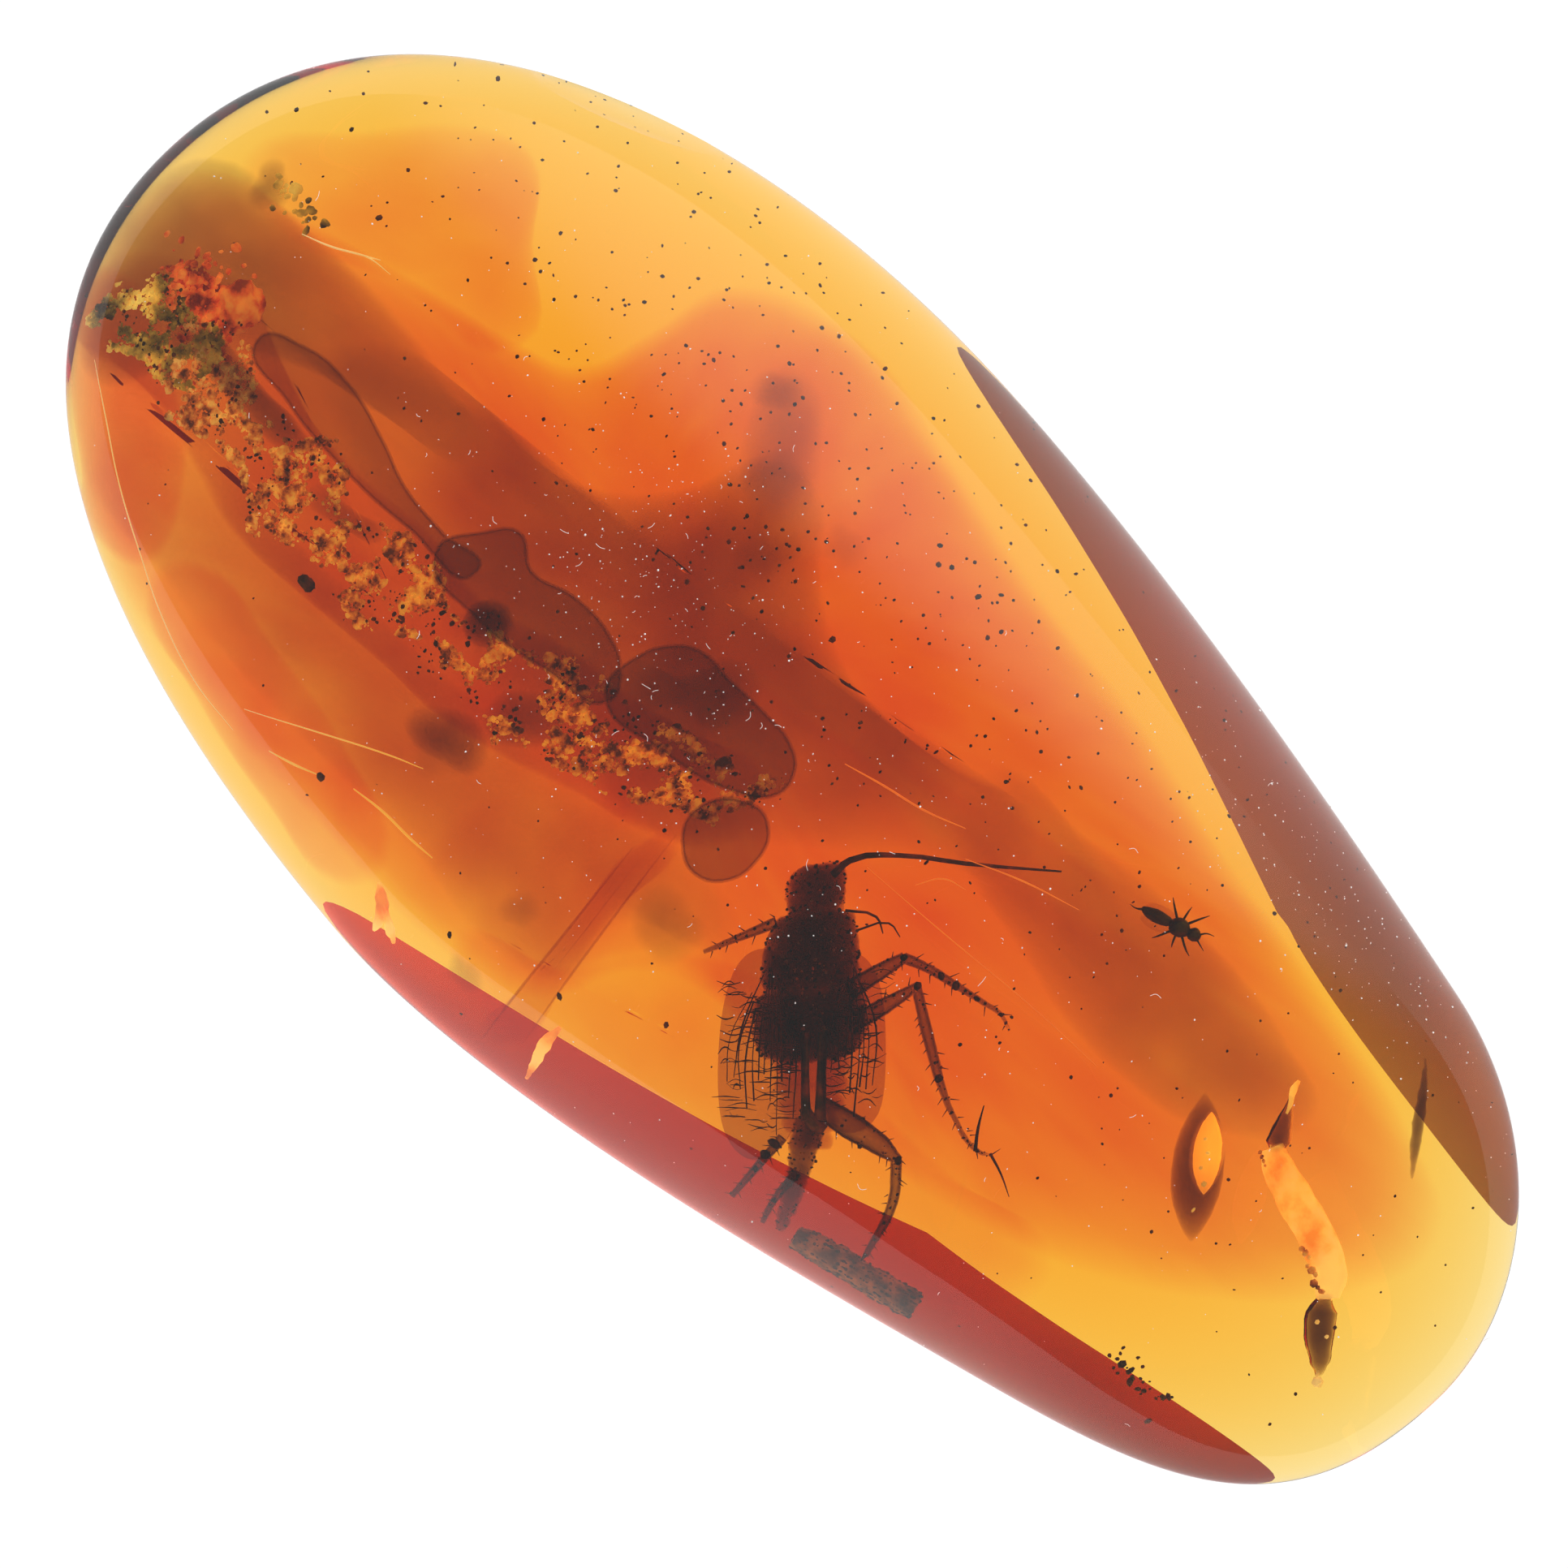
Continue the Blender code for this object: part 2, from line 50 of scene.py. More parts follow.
print("packed nodes:", sorted(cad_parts))

# %% [markdown]
# ## The camera
# The stone is seen from straight above, turned so that its long axis runs from top left to bottom right.
# A long lens from 35 cm keeps the sides from leaning outwards, as a macro lens does.

# %% Camera straight above
VIEW_WIDTH = 35.38 * MM
VIEW_DISTANCE = 0.35
SENSOR_MM = 36.0
VIEW_TURN = math.radians(49.0)
bpy.ops.object.camera_add(location=(-0.11 * MM, 0.07 * MM, VIEW_DISTANCE + 2.5 * MM), rotation=(0, 0, VIEW_TURN))
camera = bpy.context.object
camera.name = "camera_above"
camera.data.sensor_width = SENSOR_MM
camera.data.lens = SENSOR_MM * VIEW_DISTANCE / VIEW_WIDTH
camera.data.clip_start = 0.01
scene.camera = camera
print("lens in mm:", round(camera.data.lens, 1))

# %% [markdown]
# ## The light
# Amber shows its colour when light comes through it, so the floor is a light table: a pale sheet that glows
# evenly. Rays that meet the ground flats at a low angle are reflected inside the stone and leave through its
# side, so they show how bright the room is: a dim grey room makes them brown. On one side the room is
# brighter, as by a window with a net curtain, and that light falls on the pieces inside from the front. The
# brightness fades evenly, because the polished dome would mirror any edge.

# %% Light table and room
TABLE_HALF = 0.3
TABLE_GAP = 0.05 * MM
TABLE_GLOW = 1.06
ROOM_GLOW = 0.45
bpy.ops.mesh.primitive_grid_add(x_subdivisions=4, y_subdivisions=4, size=2 * TABLE_HALF, location=(0, 0, -TABLE_GAP))
light_table = bpy.context.object
light_table.name = "light_table"
table_glass = bpy.data.materials.new("glowing_table")
table_glass.use_nodes = True
table_shader = table_glass.node_tree.nodes["Principled BSDF"]
table_shader.inputs["Base Color"].default_value = (0.0, 0.0, 0.0, 1)
table_shader.inputs["Specular IOR Level"].default_value = 0.0
table_shader.inputs["Emission Color"].default_value = (1.0, 1.0, 1.0, 1)
table_shader.inputs["Emission Strength"].default_value = TABLE_GLOW
light_table.data.materials.append(table_glass)

ROOM_BRIGHT_SIDE = (-0.26, 0.95, 0.15)
ROOM_BRIGHT = 1.7
room = bpy.data.worlds.new("grey_room")
room.use_nodes = True
nodes, links = room.node_tree.nodes, room.node_tree.links
nodes["Background"].inputs["Color"].default_value = (1.0, 1.0, 1.0, 1)
direction = nodes.new("ShaderNodeTexCoord")
towards = nodes.new("ShaderNodeVectorMath")
towards.operation = "DOT_PRODUCT"
towards.inputs[1].default_value = ROOM_BRIGHT_SIDE
fade = nodes.new("ShaderNodeMapRange")
fade.interpolation_type = "SMOOTHSTEP"
fade.inputs["From Min"].default_value = 0.72
fade.inputs["From Max"].default_value = 1.0
fade.inputs["To Min"].default_value = ROOM_GLOW
fade.inputs["To Max"].default_value = ROOM_BRIGHT
links.new(direction.outputs["Generated"], towards.inputs[0])
links.new(towards.outputs["Value"], fade.inputs["Value"])
links.new(fade.outputs["Result"], nodes["Background"].inputs["Strength"])
scene.world = room

scene.view_settings.view_transform = "Standard"
scene.cycles.max_bounces = 40
scene.cycles.transmission_bounces = 40
scene.cycles.glossy_bounces = 16
scene.cycles.diffuse_bounces = 3
scene.cycles.transparent_max_bounces = 40
print("light table glow:", TABLE_GLOW, "room glow:", ROOM_GLOW)

# %% [markdown]
# ## A few helpers for modelling by hand
# An operator acts on everything that is selected. So each piece starts from one primitive with nothing else
# selected, vertices are picked by their place, and a finished piece is shrunk to metres and laid in the
# stone with its object back at the origin. A pattern that reads Object coordinates then stays put.


# %% Helpers: start a piece, select by place, settle it in the stone
def alone(piece):
    """Leave edit mode and make this piece the only one selected."""
    if bpy.context.object and bpy.context.object.mode != "OBJECT":
        bpy.ops.object.mode_set(mode="OBJECT")
    bpy.ops.object.select_all(action="DESELECT")
    piece.select_set(True)
    bpy.context.view_layer.objects.active = piece
    return piece


def begin(add, name, **where):
    """Add one primitive, alone, under the piece's own name."""
    bpy.ops.object.select_all(action="DESELECT")
    add(**where)
    piece = bpy.context.object
    piece.name = name
    piece.data.name = name
    return piece


def edit(piece):
    alone(piece)
    bpy.ops.object.mode_set(mode="EDIT")


def choose(test):
    """In edit mode, select the vertices whose place passes the test."""
    bpy.ops.mesh.select_mode(type="VERT")
    bpy.ops.mesh.select_all(action="DESELECT")
    mesh = bmesh.from_edit_mesh(bpy.context.object.data)
    for vert in mesh.verts:
        vert.select_set(test(vert.co))
    mesh.select_flush(True)
    bmesh.update_edit_mesh(bpy.context.object.data)


def extrude_to(shift, grow=None, about=(0, 0, 0)):
    """Extrude what is selected along shift, then scale it about a point."""
    bpy.ops.mesh.extrude_region_move(TRANSFORM_OT_translate={"value": shift})
    if grow:
        bpy.ops.transform.resize(value=grow, center_override=about)


def close_up():
    """Fill any open end, merge doubles and turn the faces outwards."""
    bpy.ops.mesh.select_all(action="SELECT")
    bpy.ops.mesh.remove_doubles(threshold=0.0005)
    bpy.ops.mesh.select_all(action="SELECT")
    bpy.ops.mesh.fill_holes(sides=0)
    bpy.ops.mesh.select_all(action="SELECT")
    bpy.ops.mesh.normals_make_consistent(inside=False)
    bpy.ops.object.mode_set(mode="OBJECT")


def apply_all(piece):
    alone(piece)
    for modifier in list(piece.modifiers):
        bpy.ops.object.modifier_apply(modifier=modifier.name)


def settle(piece, place=Matrix.Identity(4)):
    """Lay a piece modelled in millimetres in the stone, in metres, with its object at the origin."""
    alone(piece)
    bpy.context.view_layer.update()
    piece.matrix_world = Matrix.Scale(MM, 4) @ place @ piece.matrix_world
    bpy.ops.object.transform_apply(location=True, rotation=True, scale=True)
    return piece


def rest(piece, material, smooth=30):
    """Give the finished piece its material and shading, and let it ride on the stone."""
    alone(piece)
    piece.data.materials.clear()
    piece.data.materials.append(material)
    if smooth:
        bpy.ops.object.shade_smooth_by_angle(angle=math.radians(smooth))
    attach(piece, "root")
    piece.data.calc_loop_triangles()
    print(piece.name, "triangles:", len(piece.data.loop_triangles))
    return piece


# %% [markdown]
# ## Amber as a material
# Amber is a clear solid that takes light away evenly through its depth: all of the blue, some of the green
# and almost no red. So the surface is clear, and a volume absorption does the colouring. Thin rims then come
# out yellow and thick parts deep orange by themselves. The polish is not perfect: a very faint waviness bends
# the light a little. The flats on the underside were only ground fine, so they are less smooth, and a little
# of the table's light leaks in through them.


# %% Amber finish
def new_finish(name):
    made = bpy.data.materials.new(name)
    made.use_nodes = True
    nodes = made.node_tree.nodes
    return made, nodes, made.node_tree.links, nodes["Principled BSDF"]


AMBER_PER_MM = (0.01, 0.13, 0.58)
AMBER_IOR = 1.54


def absorb(nodes, links, per_mm):
    """Take away this much red, green and blue with each millimetre of depth."""
    depth = nodes.new("ShaderNodeVolumeAbsorption")
    most = max(per_mm)
    depth.inputs["Color"].default_value = (*(1 - part / most for part in per_mm), 1)
    depth.inputs["Density"].default_value = most / MM
    links.new(depth.outputs["Volume"], nodes["Material Output"].inputs["Volume"])


def amber_surface(name, roughness, wave_height):
    """Clear amber with this polish, its surface waved a little by noise."""
    made, nodes, links, shader = new_finish(name)
    shader.inputs["Base Color"].default_value = (1.0, 1.0, 1.0, 1)
    shader.inputs["Transmission Weight"].default_value = 1.0
    shader.inputs["Roughness"].default_value = roughness
    shader.inputs["IOR"].default_value = AMBER_IOR
    absorb(nodes, links, AMBER_PER_MM)
    place = nodes.new("ShaderNodeTexCoord")
    waves = nodes.new("ShaderNodeTexNoise")
    waves.inputs["Scale"].default_value = 260.0
    waves.inputs["Detail"].default_value = 1.0
    bump = nodes.new("ShaderNodeBump")
    bump.inputs["Strength"].default_value = 0.12
    bump.inputs["Distance"].default_value = wave_height
    links.new(place.outputs["Object"], waves.inputs["Vector"])
    links.new(waves.outputs["Fac"], bump.inputs["Height"])
    links.new(bump.outputs["Normal"], shader.inputs["Normal"])
    return made


amber_finish = amber_surface("polished_amber", 0.0, 0.00012)
ground_amber = amber_surface("ground_amber", 0.4, 0.0001)
worn_amber = amber_surface("worn_amber", 0.2, 0.0001)
print("amber takes away, per mm:", AMBER_PER_MM)

# %% [markdown]
# ## The outline of the stone
# The stone is an uneven oval, fuller at one end and narrower at the other. A closed Bezier curve with six
# knots gives it with very few numbers: each knot has a place, a heading and two handle lengths. It starts as
# a Bezier circle with four knots, and two of its spans are subdivided to make six.

# %% Stone outline as a six-knot curve
# Each knot: x, y, heading in degrees, handle before it, handle after it.
OUTLINE_KNOTS = (
    (-20.0, -0.8, 91.0, 6.5, 6.6),
    (-3.5, 9.7, 1.0, 8.9, 5.9),
    (13.4, 8.4, -7.5, 4.5, 3.9),
    (20.0, 2.1, -87.5, 2.9, 4.7),
    (12.9, -5.4, 199.0, 4.7, 4.7),
    (-4.3, -9.7, 179.0, 4.8, 8.7),
)
HEIGHT = 9.4
GIRDLE_Z = 3.2
STEPS_PER_SPAN = 60

amber = begin(bpy.ops.curve.primitive_bezier_circle_add, "amber_clear", radius=10.0)
bpy.ops.object.mode_set(mode="EDIT")
for pair in ((0, 1), (2, 3)):
    for i, knot in enumerate(amber.data.splines[0].bezier_points):
        knot.select_control_point = knot.select_left_handle = knot.select_right_handle = i in pair
    bpy.ops.curve.subdivide(number_cuts=1)
bpy.ops.object.mode_set(mode="OBJECT")
for knot, (x, y, heading, before, after) in zip(amber.data.splines[0].bezier_points, OUTLINE_KNOTS):
    knot.handle_left_type = knot.handle_right_type = "FREE"
    ahead = Vector((math.cos(math.radians(heading)), math.sin(math.radians(heading)), 0))
    knot.co = Vector((x, y, GIRDLE_Z))
    knot.handle_left = knot.co - ahead * before
    knot.handle_right = knot.co + ahead * after
amber.data.splines[0].resolution_u = STEPS_PER_SPAN
amber.data.resolution_u = STEPS_PER_SPAN
bpy.ops.object.convert(target="MESH")
amber = bpy.context.object
print("knots:", len(OUTLINE_KNOTS), "outline points:", len(amber.data.vertices))

# %% [markdown]
# ## From outline to dome
# The outline becomes a stone as a cutter would lay it out: the ring is extruded upwards again and again,
# each time a little smaller about the crown, until it closes at the top. The same is done downwards to the
# flat foot. Two short formulas give the height of each ring: a full dome above, and a quick round turn below.
# Drawn in like that, the dome would keep the corner of the outline as a ridge. So each dome ring is then eased
# from the outline towards a plain oval, the more the higher it lies, and the dome comes out smooth.

# %% Extrude the dome and the keel
CROWN_XY = Vector((-2.0, 0.4, 0.0))
DOME_ROUNDNESS = 1.45
OVAL_AT = Vector((0.0, 0.65, 0.0))
OVAL_TURN = 4.1
OVAL_HALF_SIZES = (20.05, 9.3)
OVAL_EASING = 3
FOOT_SHARE = 0.8
KEEL_POWER = 3.0
KEEL_ROUNDNESS = 2.5
DOME_RINGS = 40
KEEL_RINGS = 22
FOOT_RINGS = 5


def dome_z(share):
    return GIRDLE_Z + (HEIGHT - GIRDLE_Z) * max(1 - share**2, 0.0) ** (1 / DOME_ROUNDNESS)


def keel_z(share):
    swell = max((share - FOOT_SHARE) / (1 - FOOT_SHARE), 0.0)
    return GIRDLE_Z * (1 - max(1 - swell**KEEL_POWER, 0.0) ** (1 / KEEL_ROUNDNESS))


def draw_in(shares, level):
    """Extrude the selected ring through these shares of its size, then close it at the crown."""
    share, z = 1.0, GIRDLE_Z
    for smaller in shares:
        grow = smaller / share
        extrude_to((0, 0, level(smaller) - z), (grow, grow, 1), CROWN_XY)
        share, z = smaller, level(smaller)
    extrude_to((0, 0, level(0.0) - z))
    bpy.ops.mesh.merge(type="CENTER")


def ease_to_oval(co):
    """Where a point of the dome goes when its ring takes on the oval's form."""
    share = math.sqrt(max(1 - ((co.z - GIRDLE_Z) / (HEIGHT - GIRDLE_Z)) ** DOME_ROUNDNESS, 0.0))
    if share < 0.01:
        return co
    flat_co = Vector((co.x, co.y, 0))
    point = CROWN_XY + (flat_co - CROWN_XY) / share
    away = Matrix.Rotation(math.radians(-OVAL_TURN), 3, "Z") @ (point - OVAL_AT)
    reach = math.hypot(away.x / OVAL_HALF_SIZES[0], away.y / OVAL_HALF_SIZES[1])
    own = share**OVAL_EASING
    eased = point * own + (OVAL_AT + (point - OVAL_AT) / reach) * (1 - own)
    return CROWN_XY * (1 - share) + eased * share + Vector((0, 0, co.z))


quarter = math.pi / 2
dome_shares = [math.cos(quarter * k / DOME_RINGS) for k in range(1, DOME_RINGS)]
keel_shares = [FOOT_SHARE + (1 - FOOT_SHARE) * math.cos(quarter * k / KEEL_RINGS) for k in range(1, KEEL_RINGS + 1)]
foot_shares = [FOOT_SHARE * (1 - k / FOOT_RINGS) for k in range(1, FOOT_RINGS)]
edit(amber)
choose(lambda co: True)
draw_in(dome_shares, dome_z)
for vert in bmesh.from_edit_mesh(amber.data).verts:
    vert.co = ease_to_oval(vert.co)
choose(lambda co: abs(co.z - GIRDLE_Z) < 1e-5)
draw_in(keel_shares + foot_shares, keel_z)
bpy.ops.mesh.select_all(action="SELECT")
bpy.ops.mesh.normals_make_consistent(inside=False)
print("points:", len(bmesh.from_edit_mesh(amber.data).verts))

# %% [markdown]
# ## Grinding the flats
# Four flats were ground on the stone: two long bevels and an end bevel on the underside, and a small one on
# the upper rim. Bisect cuts a mesh with a plane, throws away what lies outside and fills the cut, which is
# what the grinding wheel does.

# %% Grind four flats
# Each flat: a point on it, the heading of its outward normal, and how far that normal rises.
FLATS = (
    ((5.8, 5.5, 0.0), 80.5, -53.5),
    ((5.0, -4.0, 0.0), 290.0, -56.0),
    ((9.0, 0.0, 0.0), 0.0, -82.0),
    ((-13.75, 7.45, GIRDLE_Z), 116.3, 22.0),
)


def facing(heading, rise):
    flat = Vector((math.cos(math.radians(heading)), math.sin(math.radians(heading)), 0))
    return flat * math.cos(math.radians(rise)) + Vector((0, 0, math.sin(math.radians(rise))))


for point, heading, rise in FLATS:
    bpy.ops.mesh.select_all(action="SELECT")
    bpy.ops.mesh.bisect(
        plane_co=point, plane_no=facing(heading, rise), use_fill=True, clear_outer=True, threshold=0.0001
    )
bpy.ops.object.mode_set(mode="OBJECT")
settle(amber)
rest(amber, amber_finish, smooth=12)
amber.data.materials.append(ground_amber)
amber.data.materials.append(worn_amber)
for face in amber.data.polygons:
    slanted = -0.97 < face.normal.z < -0.3
    if len(face.vertices) > 8 and slanted:
        face.material_index = 2 if face.normal.y < 0 else 1
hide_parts("amber_upper", "amber_lower")
print("ground flats:", sum(face.material_index > 0 for face in amber.data.polygons))
print("stone in mm:", [round(size / MM, 2) for size in amber.dimensions])

# %% [markdown]
# ## Clouds and stains in the resin
# The middle of the stone is browner than its margins: old sap left cloudy layers there. A cloud has no
# surface, only more or less depth, so each is a soft lens that takes light away and does not bend it: its
# refractive index is one. Its outline is a closed curve, drawn in ring by ring towards its deepest point. It
# fades slowly where that point is far from the outline and quickly where it is near, so one side of a cloud
# can end almost sharply. Its depth is uneven, and several clouds overlap.


# %% Stain finishes and closed outlines
def stain_finish(name, per_mm, bends=1.0):
    """Takes light away through its depth. With bends at 1 its surface can't be seen."""
    made, nodes, links, shader = new_finish(name)
    shader.inputs["Base Color"].default_value = (1.0, 1.0, 1.0, 1)
    shader.inputs["Transmission Weight"].default_value = 1.0
    shader.inputs["Roughness"].default_value = 0.0
    shader.inputs["IOR"].default_value = bends
    absorb(nodes, links, per_mm)
    return made


orange_haze = stain_finish("orange_haze", (0.22, 1.4, 1.5))
brown_haze = stain_finish("brown_haze", (1.2, 1.4, 1.3))


def closed_curve(name, outline, z, steps=8):
    """A smooth closed curve through these points."""
    ring = begin(bpy.ops.curve.primitive_bezier_circle_add, name, radius=1.0)
    curve = ring.data
    curve.splines.clear()
    spline = curve.splines.new("BEZIER")
    spline.use_cyclic_u = True
    spline.bezier_points.add(len(outline) - 1)
    for knot, (x, y) in zip(spline.bezier_points, outline):
        knot.co = (x, y, 0)
        knot.handle_left_type = knot.handle_right_type = "AUTO"
    curve.resolution_u = steps
    ring.location.z = z
    return ring


# %% The soft lens
LENS_RINGS = 12


def soft_lens(name, outline, peak, half_depth, fullness):
    """A lens over this outline, deepest at peak. Its depth fades as (1 - share squared) to this power."""
    lens = closed_curve(name, outline, 0.0, steps=5)
    alone(lens)
    bpy.ops.object.convert(target="MESH")
    lens = bpy.context.object
    rim_count = len(lens.data.vertices)
    middle = Vector((peak[0], peak[1], 0.0))
    edit(lens)
    bpy.ops.mesh.select_all(action="SELECT")
    for side in (1, -1):
        if side < 0:
            mesh = bmesh.from_edit_mesh(lens.data)
            mesh.verts.ensure_lookup_table()
            bpy.ops.mesh.select_all(action="DESELECT")
            for vert in mesh.verts[:rim_count]:
                vert.select_set(True)
            mesh.select_flush(True)
        share = 1.0
        for k in range(1, LENS_RINGS):
            smaller = 1 - k / LENS_RINGS
            shift = side * ((1 - smaller**2) ** fullness - (1 - share**2) ** fullness)
            extrude_to((0, 0, shift), (smaller / share, smaller / share, 1), middle)
            share = smaller
        extrude_to((0, 0, side * (1 - (1 - share**2) ** fullness)))
        bpy.ops.mesh.merge(type="CENTER")
    for vert in bmesh.from_edit_mesh(lens.data).verts:
        vert.co.z *= half_depth * (1 + 0.45 * noise.noise(vert.co * 0.55) + 0.25 * noise.noise(vert.co * 1.7))
    close_up()
    return settle(lens, Matrix.Translation((0, 0, peak[2])))


# %% Lay the clouds
# Each cloud: name, finish, deepest point, half depth, fullness, outline.
CLOUDS = (
    ("haze_orange", orange_haze, (-4.3, 0.3, 2.3), 0.5, 0.5, ((-17.9, -4.8), (-19.0, -2.9), (-18.6, -0.8), (-16.0, 0.2), (-12.9, 1.1), (-11.0, 1.6), (-9.7, 2.2), (-9.3, 3.6), (-9.0, 5.5), (-6.3, 6.8), (-3.0, 6.4), (0.6, 5.9), (4.0, 5.8), (7.5, 5.4), (11.1, 5.3), (14.7, 5.0), (16.8, 4.1), (16.2, 1.9), (14.3, -0.1), (12.2, -1.4), (9.7, -2.3), (7.2, -2.9), (4.5, -3.3), (2.1, -3.3), (0.7, -4.1), (-0.3, -6.2), (-3.0, -7.3), (-6.3, -7.5), (-10.0, -7.8), (-13.6, -7.6), (-16.0, -6.4))),
    ("haze_rim_high", orange_haze, (-15.8, -5.4, 2.3), 0.25, 0.4, ((-18.6, -3.8), (-17.3, -5.5), (-15.7, -6.6), (-14.2, -7.4), (-13.0, -6.9), (-13.6, -5.0), (-15.7, -3.7), (-17.6, -3.2))),
    ("haze_rim_low", orange_haze, (-8.9, -6.9, 2.3), 0.22, 0.4, ((-12.7, -7.1), (-10.1, -7.9), (-7.3, -8.2), (-4.9, -8.1), (-4.6, -6.7), (-6.9, -5.8), (-9.7, -5.6), (-12.3, -5.8))),
    ("haze_lower", orange_haze, (2.8, -4.1, 2.3), 0.16, 0.4, ((-2.5, -6.6), (-0.6, -5.4), (0.6, -3.6), (2.2, -2.4), (5.3, -2.3), (8.7, -2.0), (11.6, -1.8), (11.7, -3.0), (9.2, -4.5), (5.7, -5.8), (2.0, -6.9), (-0.6, -7.5))),
    ("haze_brown_core", brown_haze, (-4.4, 1.3, 2.3), 0.37, 0.8, ((-12.9, -0.2), (-11.2, 0.3), (-8.0, 0.7), (-6.3, 2.1), (-5.7, 3.6), (-4.4, 4.0), (-2.8, 2.9), (-1.2, 2.3), (0.4, 2.3), (2.1, 2.6), (4.2, 3.1), (4.6, 2.2), (3.2, 1.3), (1.9, 0.3), (0.6, -0.7), (-0.6, -1.9), (-3.0, -2.5), (-5.9, -2.7), (-9.0, -2.5), (-11.6, -2.0), (-13.5, -1.2))),
    ("haze_brown_right", brown_haze, (9.2, 2.9, 2.3), 0.23, 0.7, ((2.4, 2.8), (5.3, 3.7), (8.0, 4.2), (11.4, 4.2), (12.9, 3.7), (11.7, 2.1), (9.4, 1.4), (6.4, 1.4))),
    ("haze_brown_end", brown_haze, (-17.6, -2.2, 2.3), 0.36, 0.6, ((-17.9, -4.8), (-18.7, -3.3), (-19.1, -1.9), (-18.6, -0.4), (-15.9, 0.1), (-13.3, 0.3), (-11.1, 0.2), (-9.6, -0.1), (-11.5, -1.0), (-13.5, -1.6), (-15.0, -2.7), (-15.7, -3.9), (-16.8, -5.3))),
    ("haze_brown_flank", brown_haze, (-3.7, -4.0, 2.3), 0.14, 0.6, ((-16.2, -5.9), (-14.5, -4.5), (-10.2, -3.7), (-6.5, -3.1), (-3.3, -2.6), (-1.4, -2.1), (0.3, -1.8), (1.6, -2.3), (-0.3, -3.7), (-0.1, -5.3), (-1.9, -6.2), (-4.6, -6.1), (-8.1, -6.5), (-11.9, -6.7))),
    ("haze_branch", brown_haze, (-5.5, 3.9, 2.3), 0.17, 1.0, ((-6.8, 4.3), (-7.0, 5.1), (-6.3, 5.4), (-4.9, 4.5), (-4.1, 3.4), (-4.4, 2.7), (-5.5, 2.9))),
    ("haze_corner", orange_haze, (-12.5, 2.5, 2.3), 0.2, 0.6, ((-18.1, 0.1), (-16.8, 2.2), (-15.1, 4.1), (-14.0, 4.4), (-12.4, 3.1), (-10.8, 1.6), (-13.7, 0.6), (-16.6, -0.4))),
)
for name, finish, peak, half_depth, fullness, outline in CLOUDS:
    rest(soft_lens(name, outline, peak, half_depth, fullness), finish)

# %% [markdown]
# ## The insect's skin
# The body has turned almost black, with dull red where light still gets through thin skin; that red is painted into the
# colour. One noise mixes the two tones, a finer one roughens the surface.


# %% Dark insect finish
def mottled(name, tones, scale, roughness=0.5, relief=0.00003, relief_scale=None, detail=4.0):
    """An opaque finish: noise through a ramp of tones for colour, and a finer noise for relief."""
    made, nodes, links, shader = new_finish(name)
    place = nodes.new("ShaderNodeTexCoord")
    spots = nodes.new("ShaderNodeTexNoise")
    spots.inputs["Scale"].default_value = scale
    spots.inputs["Detail"].default_value = detail
    ramp = nodes.new("ShaderNodeValToRGB")
    first, last = ramp.color_ramp.elements[0], ramp.color_ramp.elements[-1]
    first.position, first.color = tones[0][0], (*tones[0][1], 1)
    last.position, last.color = tones[-1][0], (*tones[-1][1], 1)
    for position, colour in tones[1:-1]:
        ramp.color_ramp.elements.new(position).color = (*colour, 1)
    grain = nodes.new("ShaderNodeTexNoise")
    grain.inputs["Scale"].default_value = relief_scale or scale * 3
    grain.inputs["Detail"].default_value = 3.0
    bump = nodes.new("ShaderNodeBump")
    bump.inputs["Strength"].default_value = 0.6
    bump.inputs["Distance"].default_value = relief
    links.new(place.outputs["Object"], spots.inputs["Vector"])
    links.new(place.outputs["Object"], grain.inputs["Vector"])
    links.new(spots.outputs["Fac"], ramp.inputs["Fac"])
    links.new(ramp.outputs["Color"], shader.inputs["Base Color"])
    links.new(grain.outputs["Fac"], bump.inputs["Height"])
    links.new(bump.outputs["Normal"], shader.inputs["Normal"])
    shader.inputs["Roughness"].default_value = roughness
    return made


def lit_through_with_painted_glow(finish, transmission, glow):
    """Let table light into an opaque finish, and add a painted glow in its own tones: emission where there is no lamp.
    """
    nodes, links = finish.node_tree.nodes, finish.node_tree.links
    shader = nodes["Principled BSDF"]
    shader.inputs["Transmission Weight"].default_value = transmission
    # The emission is painted light: it brightens the finish in its own tones, though the piece is no lamp.
    links.new(nodes["Color Ramp"].outputs["Color"], shader.inputs["Emission Color"])
    shader.inputs["Emission Strength"].default_value = glow


# Painted light: the red tone stands for light that gets through thin skin, and the noise places it at random.
insect_skin = mottled(
    "insect_skin", ((0.35, (0.02, 0.008, 0.004)), (0.5, (0.08, 0.02, 0.008)), (0.68, (0.3, 0.06, 0.015))), 2600, 0.55
)

# The thick body itself lets a little red light through where it is thin, so it gets a very dark stain.
insect_flesh = stain_finish("insect_flesh", (3.4, 4.6, 5.2))
belly_flesh = stain_finish("belly_flesh", (1.0, 1.9, 2.4))

# %% [markdown]
# ## The insect's body
# Head, collar and chest are three stout boxes with rounded sides, and the belly behind them is ringed. Each
# is drawn out of one ring of points: the ring is extruded along the body from section to section and scaled
# to the width and height there. The insect's own axes are u from head to tail, v to its right and w up.

# %% Insect axes and a ring drawn through sections
INSECT_AT = (1.7, -0.4, 4.2)
INSECT_TURN = -41.0
INSECT_PLACE = Matrix.Translation(INSECT_AT) @ Matrix.Rotation(math.radians(INSECT_TURN), 4, "Z")


